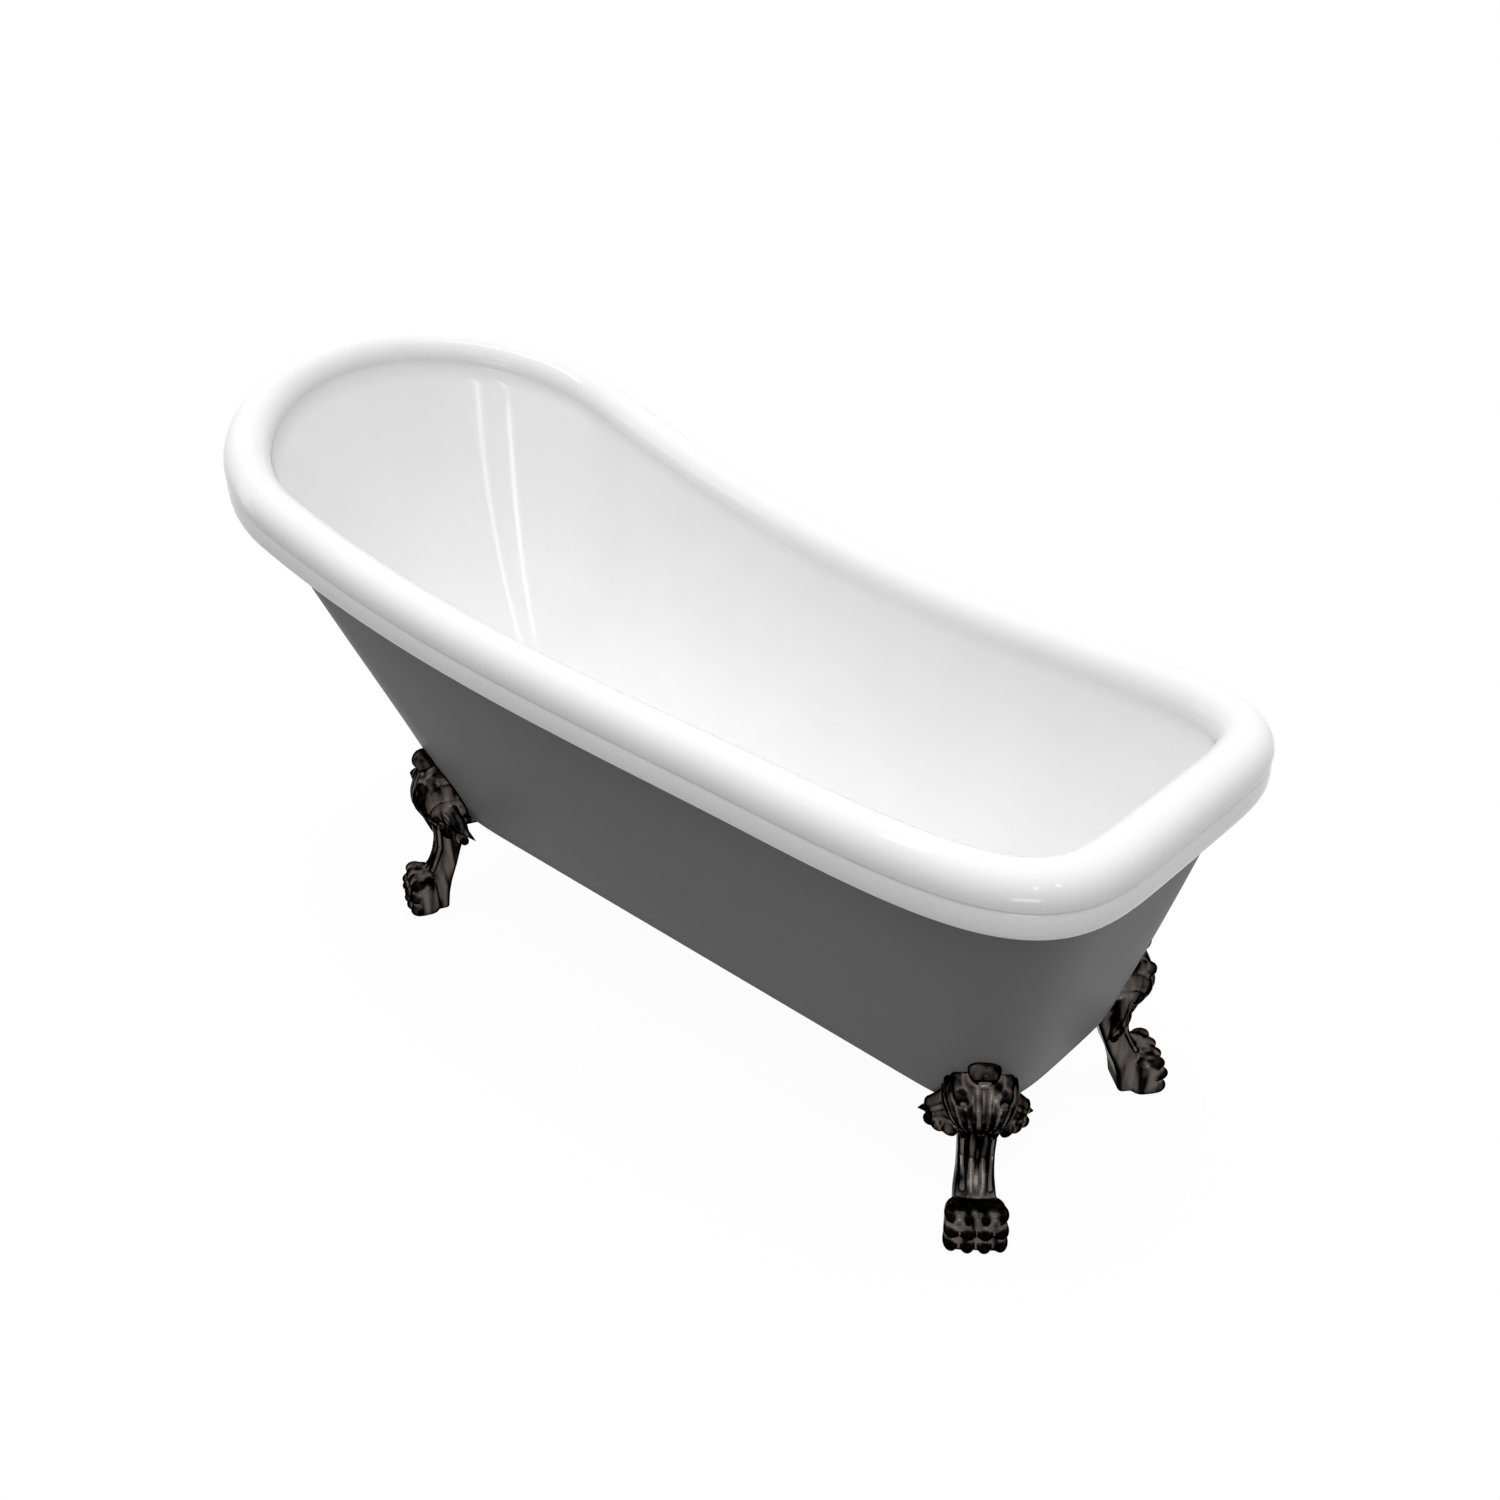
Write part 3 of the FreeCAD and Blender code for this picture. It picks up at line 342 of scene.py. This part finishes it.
def merge(a, b, soft):
    """Union with a fillet of about that size."""
    h = np.clip(0.5 + 0.5 * (b - a) / soft, 0.0, 1.0)
    return b + (a - b) * h - soft * h * (1.0 - h)


def carve(a, b, soft):
    """Takes b out of a, with a soft edge."""
    return -merge(-a, b, soft)


def station(w, column):
    """One column of the foot's stations at heights w, eased between them."""
    columns = list(zip(*foot_stations))
    heights = np.arange(float(station_top))
    padded = np.pad(np.interp(heights, columns[0], columns[column]), station_blur // 2, mode="edge")
    eased_values = np.convolve(padded, np.full(station_blur, 1.0 / station_blur), "valid")
    return np.interp(w, heights, eased_values)


def body(p):
    """Heel block, shank and swelling fan: rounded in front, straight sided behind."""
    back, middle, front, half, power = [station(p[2], column) for column in range(1, 6)]
    reach = np.maximum(p[0] - middle, 0.0) / (front - middle)
    around = (reach ** power + (p[1] / half) ** power + 1e-9) ** (1.0 / power)
    form = (around - 1.0) * np.minimum(half, front - middle)
    spread = np.arctan2(p[1], p[2] - fan_root) / fan_pitch
    deepening = np.clip((p[2] - fan_ends[0]) / fan_fades[0], 0.0, 1.0)
    deepening = deepening * np.clip((fan_ends[1] - p[2]) / fan_fades[1], 0.0, 1.0)
    form = form - fan_depth * deepening * np.sqrt(np.abs(np.cos(spread * math.pi)))
    return -merge(-form, p[0] - back, back_rounding)


def paw(p):
    """Broad pad behind four toes, each with two knuckles and a rounded tip."""
    form = block(p, centre=(-3.0, 0.0, 31.0), half=(21.0, 37.0, 36.0), rounding=17.0)
    for side in toe_sides:
        upper, lower, tip = [ball(p, (front - toe_splay * side, side, height), radii)
                             for front, height, radii in toe_balls]
        toe = merge(merge(upper, lower, toe_blend), tip, toe_blend)
        form = merge(form, toe, soft=2.6)
    return form


def groove(p, low, bend, top, radius, top_radius):
    """Round cutter that bends once on its way up the shank."""
    lower = limb(p, low, bend, radius, radius)
    return merge(lower, limb(p, bend, top, radius, top_radius), soft=1.0)


def flutes(p):
    """Grooves up the front and sides of the shank."""
    front = groove(p, (-12.0, 6.5, 72.0), (-31.5, 6.8, 112.0), (-32.0, 7.8, 160.0), 3.6, 3.8)
    side = groove(p, (-19.0, 17.5, 76.0), (-36.0, 18.0, 112.0), (-38.0, 19.5, 158.0), 3.2, 3.4)
    return merge(front, side, soft=0.5)


def crest(p):
    """Lip that curls forward in the middle, between two smaller curls lower down."""
    lip = ball(p, centre=(-33.0, 0.0, 264.0), radii=(19.0, 19.5, 19.5))
    lip = carve(lip, ball(p, centre=(-13.0, 2.0, 253.0), radii=(10.0, 13.0, 9.0)), soft=2.0)
    curl = ball(p, centre=(-27.0, 23.5, 229.0), radii=(17.0, 11.5, 11.5))
    curl = carve(curl, ball(p, centre=(-9.5, 24.0, 226.5), radii=(6.5, 5.5, 6.0)), soft=1.2)
    return merge(lip, curl, soft=1.2)


def acanthus(p):
    """Pointed leaf on each side that sweeps down and back along the bath, scalloped below."""
    diagonal = math.sqrt(0.5)                  # the leaves stand 45 degrees off the foot's front
    leaf = ((p[0] + p[1]) * diagonal, (p[1] - p[0]) * diagonal, p[2])
    thin = (2.1, 1.0, 1.0)
    form = limb(leaf, (-13.0, 56.0, 190.0), (-10.0, 82.0, 168.0), 24.0, 16.0, thin)
    point = limb(leaf, (-10.0, 82.0, 166.0), (-11.0, 112.0, 143.0), 12.0, 0.4, thin)
    form = merge(form, point, soft=2.0)
    for across, height, size in ((60.0, 153.0, 15.0), (76.0, 145.0, 12.0), (89.0, 142.0, 8.5)):
        scallop = ball(leaf, (-9.0, across, height), (6.0, size, size))
        form = merge(form, scallop, soft=1.0)
    form = carve(form, limb(leaf, (-1.0, 58.0, 194.0), (-0.5, 84.0, 166.0), 3.2, 2.6), soft=1.2)
    form = carve(form, limb(leaf, (-0.5, 84.0, 166.0), (-6.5, 106.0, 148.0), 2.6, 1.0), soft=1.2)
    for across in (67.0, 82.0):
        vein = limb(leaf, (-1.5, across - 5.0, 164.0), (-3.0, across + 2.0, 134.0), 2.4, 2.8)
        form = carve(form, vein, soft=1.0)
    return form


def drop_leaves(p):
    """Pointed leaves that hang from the fan over the shank."""
    middle = limb(p, (-23.0, 0.0, 172.0), (-30.5, 0.0, 134.0), 9.0, 1.2, flat=(1.4, 1.0, 1.0))
    side = limb(p, (-31.0, 17.0, 172.0), (-34.5, 20.0, 146.0), 10.0, 1.2, flat=(1.3, 1.0, 1.0))
    return merge(middle, side, soft=1.0)


def bath_shelf(p):
    """Plate under the bath that the foot's bolts pass through."""
    middle = (shelf_middle, 0.0, skirt_bottom - shelf_half[2])
    gaps = [abs(a - b) - half for a, b, half in zip(p, middle, shelf_half)]
    return np.maximum(np.maximum(gaps[0], gaps[1]), gaps[2])


def screw_bore(u, v, w):
    """Recess in the sole and bore above it, clear of the levelling screw."""
    ring = np.sqrt((u + screw_setback) ** 2 + v ** 2)
    recess = np.maximum(ring - recess_radius, w - recess_top)
    return np.minimum(recess, np.maximum(ring - bore_radius, w - bore_top))


def foot_form(crest_top, behind):
    """Distance field of a foot of that height, whose back follows the outer skin:
    u outwards from the paw's middle, v across and w up."""
    start, lean, tilt, bow = behind

    def form(u, v, w):
        p = (u, abs(v), w * own_crest_top / crest_top)
        shape = carve(body(p), flutes(p), soft=1.5)
        shape = merge(shape, paw(p), soft=1.5)
        shape = merge(shape, drop_leaves(p), soft=0.8)
        shape = merge(shape, acanthus(p), soft=1.5)
        shape = merge(shape, crest(p), soft=1.5)
        skin_face = start + lean * (w - skirt_bottom - skirt_edge) + tilt * v - bow * v * v
        inside_bath = np.minimum(w - skirt_bottom, skin_face - skin_bite - u)
        shape = np.minimum(np.maximum(shape, inside_bath), bath_shelf((u, v, w)))
        shape = np.maximum(shape, -screw_bore(u, v, w))
        return np.maximum(shape, sole_height - w)

    return form


def surface_of(form, low, high, grain):
    """Quads over the zero surface of a distance field, one point to each cell that it crosses."""
    axes = [np.arange(a, b + grain, grain, dtype=np.float32) for a, b in zip(low, high)]
    values = form(*np.meshgrid(*axes, indexing="ij", sparse=True)).astype(np.float32)
    inside = values < 0.0
    counts = [len(axis) - 1 for axis in axes]
    total = np.zeros(counts + [3], np.float32)
    hits = np.zeros(counts, np.float32)
    quads = []
    for axis in range(3):
        others = [a for a in range(3) if a != axis]
        a = np.take(values, range(counts[axis]), axis)
        b = np.take(values, range(1, counts[axis] + 1), axis)
        crossed = (a < 0.0) != (b < 0.0)
        places = np.argwhere(crossed)
        spot = places.astype(np.float32)
        spot[:, axis] += a[crossed] / (a[crossed] - b[crossed])
        starts = np.take(inside, range(counts[axis]), axis)[crossed]
        corners = []
        for back in ((1, 1), (0, 1), (0, 0), (1, 0)):
            cell = places.copy()
            cell[:, others[0]] -= back[0]
            cell[:, others[1]] -= back[1]
            corners.append(cell)
            np.add.at(total, tuple(cell.T), spot)
            np.add.at(hits, tuple(cell.T), 1.0)
        quads.append((np.stack(corners, axis=1), starts == (axis != 1)))
    used = hits > 0.0
    index = np.full(counts, -1)
    index[used] = np.arange(used.sum())
    points = total[used] / hits[used][:, None] * grain + np.array(low, np.float32)
    faces = []
    for corners, flip in quads:
        rows = index[tuple(np.moveaxis(corners, 2, 0))]
        rows[flip] = rows[flip][:, ::-1]
        faces.append(rows)
    return points, np.concatenate(faces)


def eased(points, faces):
    """Points drawn a few times towards their neighbours' middle."""
    edges = np.concatenate([faces[:, [i, (i + 1) % 4]] for i in range(4)])
    edges = np.concatenate([edges, edges[:, ::-1]])
    count = np.bincount(edges[:, 0], minlength=len(points))[:, None]
    for _ in range(easing_rounds):
        sums = [np.bincount(edges[:, 0], column[edges[:, 1]], len(points)) for column in points.T]
        points = points + (np.stack(sums, axis=1) / count - points) * easing_strength
    return points


def claw_feet():
    """Sculpted feet: one for each near corner, and its mirror image on the far side."""
    made = []
    for end, crest_top in crest_tops.items():
        high = (*foot_high, crest_top + foot_headroom)
        points, faces = surface_of(foot_form(crest_top, behind_feet[end]), foot_low, high, foot_grain)
        points = eased(points, faces)
        for side, mirror in (("near", 1.0), ("far", -1.0)):
            (x, y), angle = feet[end + "_" + side]
            c, s = math.cos(math.radians(angle)), math.sin(math.radians(angle))
            out, across = points[:, 0], points[:, 1] * mirror
            placed = np.column_stack([x + out * c - across * s, y + out * s + across * c, points[:, 2]])
            outward = faces if side == "near" else faces[:, ::-1]
            foot = made_object("claw_foot_%s_%s" % (end, side), placed, outward.tolist(),
                               foot_sharp_edge)
            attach(foot, "bath")
            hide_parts("foot_%s_%s" % (end, side))
            made.append(foot)
    return made


# ------------------------------------------------------------------ finishes

class Wire:
    """A shader value. Arithmetic on it adds Math nodes."""

    def __init__(self, finish, socket):
        self.finish = finish
        self.socket = socket

    def math(self, operation, other):
        outputs = self.finish.node("ShaderNodeMath", {"operation": operation}, {0: self, 1: other})
        return outputs["Value"]

    def __add__(self, other):
        return self.math("ADD", other)

    def __mul__(self, other):
        return self.math("MULTIPLY", other)

    __radd__ = __add__
    __rmul__ = __mul__


class Finish:
    """The nodes of a new material, or of a world, under construction."""

    def __init__(self, name, library=bpy.data.materials):
        self.made = library.new(name)
        self.made.use_nodes = True
        self.tree = self.made.node_tree
        self.tree.nodes.clear()

    def node(self, kind, settings=None, inputs=None):
        """Adds a node: its settings, then its socket values or links. Gives its outputs by name."""
        made = self.tree.nodes.new(kind)
        for key, value in (settings or {}).items():
            if key == "stops":
                fill_ramp(made.color_ramp, value)
            else:
                setattr(made, key, value)
        for key, value in (inputs or {}).items():
            if isinstance(value, Wire):
                self.tree.links.new(value.socket, made.inputs[key])
            else:
                made.inputs[key].default_value = value
        return {output.name: Wire(self, output) for output in made.outputs if output.enabled}

    def place(self):
        return self.node("ShaderNodeTexCoord")["Object"]

    def noise(self, scale, detail=2.0, roughness=0.5, stretch=(1.0, 1.0, 1.0)):
        """Noise over the piece; scale is in cycles per metre."""
        at = self.node("ShaderNodeMapping", None, {"Vector": self.place(), "Scale": stretch})["Vector"]
        return self.node("ShaderNodeTexNoise", None, {"Vector": at, "Scale": scale, "Detail": detail,
                                                      "Roughness": roughness})["Fac"]

    def ramp(self, factor, stops):
        return self.node("ShaderNodeValToRGB", {"stops": stops}, {"Fac": factor})["Color"]

    def mottle(self, factor, dark, light):
        """Colour that wanders from dark to light."""
        return self.ramp(factor, [(0.3, dark), (0.7, light)])

    def bump(self, height, strength, distance):
        return self.node("ShaderNodeBump", None, {"Height": height, "Strength": strength,
                                                  "Distance": distance})["Normal"]

    def surface(self, **sockets):
        """Finishes the material with one main shader; underscores stand for spaces."""
        inputs = {key.replace("_", " "): value for key, value in sockets.items()}
        shader = self.node("ShaderNodeBsdfPrincipled", None, inputs)["BSDF"]
        self.node("ShaderNodeOutputMaterial", None, {"Surface": shader})
        return self.made


def fill_ramp(ramp, stops):
    while len(ramp.elements) > 1:
        ramp.elements.remove(ramp.elements[-1])
    for i, (position, colour) in enumerate(stops):
        element = ramp.elements[0] if i == 0 else ramp.elements.new(position)
        element.position = position
        element.color = (*colour, 1.0)


def grey(level):
    return (level, level, level)


def white_acrylic():
    finish = Finish("white_acrylic")
    cloud = finish.noise(scale=9.0, detail=3.0)
    ripple = finish.noise(scale=55.0, detail=1.0)
    return finish.surface(
        Base_Color=finish.mottle(cloud, dark=grey(0.885), light=grey(0.905)),
        Roughness=0.07 + 0.05 * cloud, IOR=1.49,
        Normal=finish.bump(ripple, strength=0.05, distance=0.0006))


def satin_grey():
    finish = Finish("satin_grey_skin")
    cloud = finish.noise(scale=6.0, detail=4.0)
    peel = finish.noise(scale=420.0, detail=1.0)
    return finish.surface(
        Base_Color=finish.mottle(cloud, dark=grey(0.200), light=grey(0.212)),
        Roughness=0.42 + 0.08 * cloud, IOR=1.45, Specular_IOR_Level=0.07,
        Normal=finish.bump(peel, strength=0.10, distance=0.0003))


def black_chrome():
    """Dark plated casting, with painted reflection patches and painted shade that turns its hollows
    black.
    """
    finish = Finish("black_chrome_casting")
    cloud = finish.noise(scale=75.0, detail=1.0, stretch=(1.0, 1.0, 0.22))
    grain = finish.noise(scale=190.0)
    # painted reflection: stretched noise sets black, brown-grey and lighter patches that stand in for
    # surroundings mirrored in the metal
    painted_reflection_patches = finish.ramp(cloud, [(0.36, grey(0.004)), (0.46, (0.062, 0.053, 0.048)),
                               (0.62, (0.115, 0.100, 0.090))])
    # painted shade: Pointiness turns the casting's hollows and creases nearly black
    bend = finish.node("ShaderNodeNewGeometry")["Pointiness"]
    painted_hollow_shade = finish.ramp(bend, [(0.483, grey(0.02)), (0.500, grey(1.0))])
    # the painted reflection patches darkened further by the painted shade in the hollows
    dark = finish.node("ShaderNodeMix", {"data_type": "RGBA", "blend_type": "MULTIPLY"},
                       {0: 1.0, 6: painted_reflection_patches, 7: painted_hollow_shade})["Result"]
    return finish.surface(
        Base_Color=dark, Metallic=1.0, Roughness=0.14 + 0.12 * cloud,
        Specular_Tint=(*grey(0.25), 1.0),
        Normal=finish.bump(grain, strength=0.15, distance=0.0006))


def chrome():
    finish = Finish("polished_chrome")
    cloud = finish.noise(scale=40.0)
    return finish.surface(
        Base_Color=finish.mottle(cloud, dark=grey(0.74), light=grey(0.79)),
        Metallic=1.0, Roughness=0.05 + 0.05 * cloud)


def zinc_steel():
    finish = Finish("zinc_plated_steel")
    spangle = finish.noise(scale=90.0, detail=3.0)
    lines = finish.noise(scale=300.0, stretch=(1.0, 0.1, 1.0))
    return finish.surface(
        Base_Color=finish.mottle(spangle, dark=(0.46, 0.47, 0.49), light=(0.58, 0.59, 0.60)),
        Metallic=1.0, Roughness=0.28 + 0.14 * spangle,
        Normal=finish.bump(lines, strength=0.10, distance=0.0003))


def black_rubber():
    finish = Finish("black_rubber")
    grain = finish.noise(scale=700.0)
    return finish.surface(
        Base_Color=finish.mottle(grain, dark=grey(0.018), light=grey(0.030)),
        Roughness=0.70 + 0.15 * grain,
        Normal=finish.bump(grain, strength=0.3, distance=0.0003))


def grey_plastic():
    finish = Finish("moulded_grey_plastic")
    grain = finish.noise(scale=500.0)
    return finish.surface(
        Base_Color=finish.mottle(grain, dark=grey(0.42), light=grey(0.46)),
        Roughness=0.38 + 0.12 * grain,
        Normal=finish.bump(grain, strength=0.15, distance=0.0002))


def board_wood():
    finish = Finish("sealed_particle_board")
    chips = finish.noise(scale=180.0, detail=5.0, roughness=0.7, stretch=(1.0, 1.6, 1.0))
    return finish.surface(
        Base_Color=finish.ramp(chips, [(0.35, (0.30, 0.21, 0.12)), (0.5, (0.44, 0.33, 0.20)),
                                       (0.65, (0.56, 0.44, 0.29))]),
        Roughness=0.55 + 0.15 * chips,
        Normal=finish.bump(chips, strength=0.3, distance=0.0006))


finishes = {"white_acrylic": white_acrylic(), "grey_skin": satin_grey(), "black_chrome": black_chrome(),
            "chrome": chrome(), "zinc_steel": zinc_steel(), "black_rubber": black_rubber(),
            "grey_plastic": grey_plastic(), "board": board_wood()}


def coat(piece, slot):
    piece.data.materials.clear()
    piece.data.materials.append(finishes[slot])


for part in frame["record"]["subparts"]:
    coat(frame["nodes"][part["node"]], part["material_slot"])

for piece, node, slot in ((bathing_shell(), "basin", "white_acrylic"),
                          (rim_under_band(), "rim_band", "white_acrylic"),
                          (outer_skin(), "outer_skirt", "grey_skin")):
    coat(piece, slot)
    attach(piece, "bath")
    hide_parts(node)
for foot in claw_feet():
    coat(foot, "black_chrome")


# ------------------------------------------------------------------ camera, floor and light

def aim_camera():
    """Camera at the photograph's place, worked out from the fitted direction and distance."""
    azimuth, elevation, roll = math.radians(43.7), math.radians(30.1), math.radians(-0.9)
    distance, shift_right, shift_up, target_height = 2151.7, 85.2, 63.6, 271.0
    image_size, focal_pixels, sensor = 1500.0, 1471.1, 36.0
    back = Vector((math.sin(azimuth) * math.cos(elevation), -math.cos(azimuth) * math.cos(elevation),
                   math.sin(elevation)))
    level = Vector((math.cos(azimuth), math.sin(azimuth), 0.0))
    up = back.cross(level)
    right = level * math.cos(roll) + up * math.sin(roll)
    over = up * math.cos(roll) - level * math.sin(roll)
    place = Vector((0.0, 0.0, target_height)) + level * shift_right + up * shift_up + back * distance
    lens = bpy.data.cameras.new("photo_camera")
    lens.sensor_width = sensor
    lens.lens = focal_pixels * sensor / image_size
    lens.clip_start, lens.clip_end = 0.05, 60.0
    camera = bpy.data.objects.new("photo_camera", lens)
    turn = Matrix((right, over, back)).transposed().to_4x4()
    camera.matrix_world = Matrix.Translation(place * MM) @ turn
    bpy.context.scene.collection.objects.link(camera)
    bpy.context.scene.camera = camera


def seen_directly(finish):
    """1 where a camera, mirror or glass ray looks, and 0 for light that bounces on."""
    path = finish.node("ShaderNodeLightPath")
    seen = path["Is Camera Ray"]
    for ray in ("Is Glossy Ray", "Is Transmission Ray"):
        seen = seen.math("MAXIMUM", path[ray])
    return seen


def white_floor():
    """Pale floor that keeps the bath's shadow and reads as white."""
    finish = Finish("white_floor")
    matt = finish.node("ShaderNodeBsdfDiffuse", None, {"Color": (*grey(floor_tone), 1.0)})["BSDF"]
    glow = finish.node("ShaderNodeEmission", None, {"Color": (*grey(1.0), 1.0),
                                                    "Strength": floor_glow})["Emission"]
    share = floor_glow_share * seen_directly(finish)
    mixed = finish.node("ShaderNodeMixShader", None, {0: share, 1: matt, 2: glow})["Shader"]
    finish.node("ShaderNodeOutputMaterial", None, {"Surface": mixed})
    mesh = bpy.data.meshes.new("floor")
    corners = [(x * floor_reach, y * floor_reach, 0.0) for x, y in ((-1, -1), (1, -1), (1, 1), (-1, 1))]
    mesh.from_pydata(corners, [], [(0, 1, 2, 3)])
    mesh.materials.append(finish.made)
    floor = bpy.data.objects.new("floor", mesh)
    bpy.context.scene.collection.objects.link(floor)


def softbox(name, place, target, width, height, power):
    """Rectangular studio lamp, in metres and watts."""
    lamp = bpy.data.lights.new(name, "AREA")
    lamp.shape = "RECTANGLE"
    lamp.size, lamp.size_y, lamp.energy = width, height, power
    made = bpy.data.objects.new(name, lamp)
    made.location = place
    made.rotation_euler = (Vector(target) - Vector(place)).to_track_quat("-Z", "Y").to_euler()
    bpy.context.scene.collection.objects.link(made)


def soft_sky():
    """White all round where it is looked at; as light, brighter from above than from the sides."""
    sky = Finish("studio", bpy.data.worlds)
    direction = sky.node("ShaderNodeTexCoord")["Generated"]
    upwards = sky.node("ShaderNodeSeparateXYZ", None, {"Vector": direction})["Z"]
    shade = sky.ramp(upwards, [(height, grey(level)) for height, level in sky_stops])
    light = sky.node("ShaderNodeBackground", None, {"Color": shade})["Background"]
    white = sky.node("ShaderNodeBackground", None, {"Color": (*grey(1.0), 1.0)})["Background"]
    mixed = sky.node("ShaderNodeMixShader", None, {0: seen_directly(sky), 1: light, 2: white})["Shader"]
    sky.node("ShaderNodeOutputWorld", None, {"Surface": mixed})
    bpy.context.scene.world = sky.made


def studio():
    """Softboxes whose reflections draw the highlights on the roll and inside the raised end."""
    middle, low_corner, raised_end = (0.1, 0.0, 0.3), (0.7, -0.2, 0.5), (-0.6, 0.2, 0.5)
    softbox("top_softbox", (-0.4, 0.05, 2.9), middle, width=2.0, height=0.3, power=6.0)
    softbox("corner_softbox", (2.3, -2.1, 0.5), low_corner, width=1.0, height=0.4, power=5.0)
    softbox("left_softbox", (-2.25, -1.5, 1.35), (-0.5, -0.2, 0.6), width=0.5, height=1.8, power=3.0)
    softbox("streak_softbox", (2.4, -1.65, 2.5), raised_end, width=0.12, height=0.7, power=2.0)
    softbox("far_streak_softbox", (2.73, -0.7, 2.6), raised_end, width=0.12, height=0.7, power=1.5)


soft_sky()
aim_camera()
white_floor()
studio()
bpy.context.scene.view_settings.view_transform = "Standard"
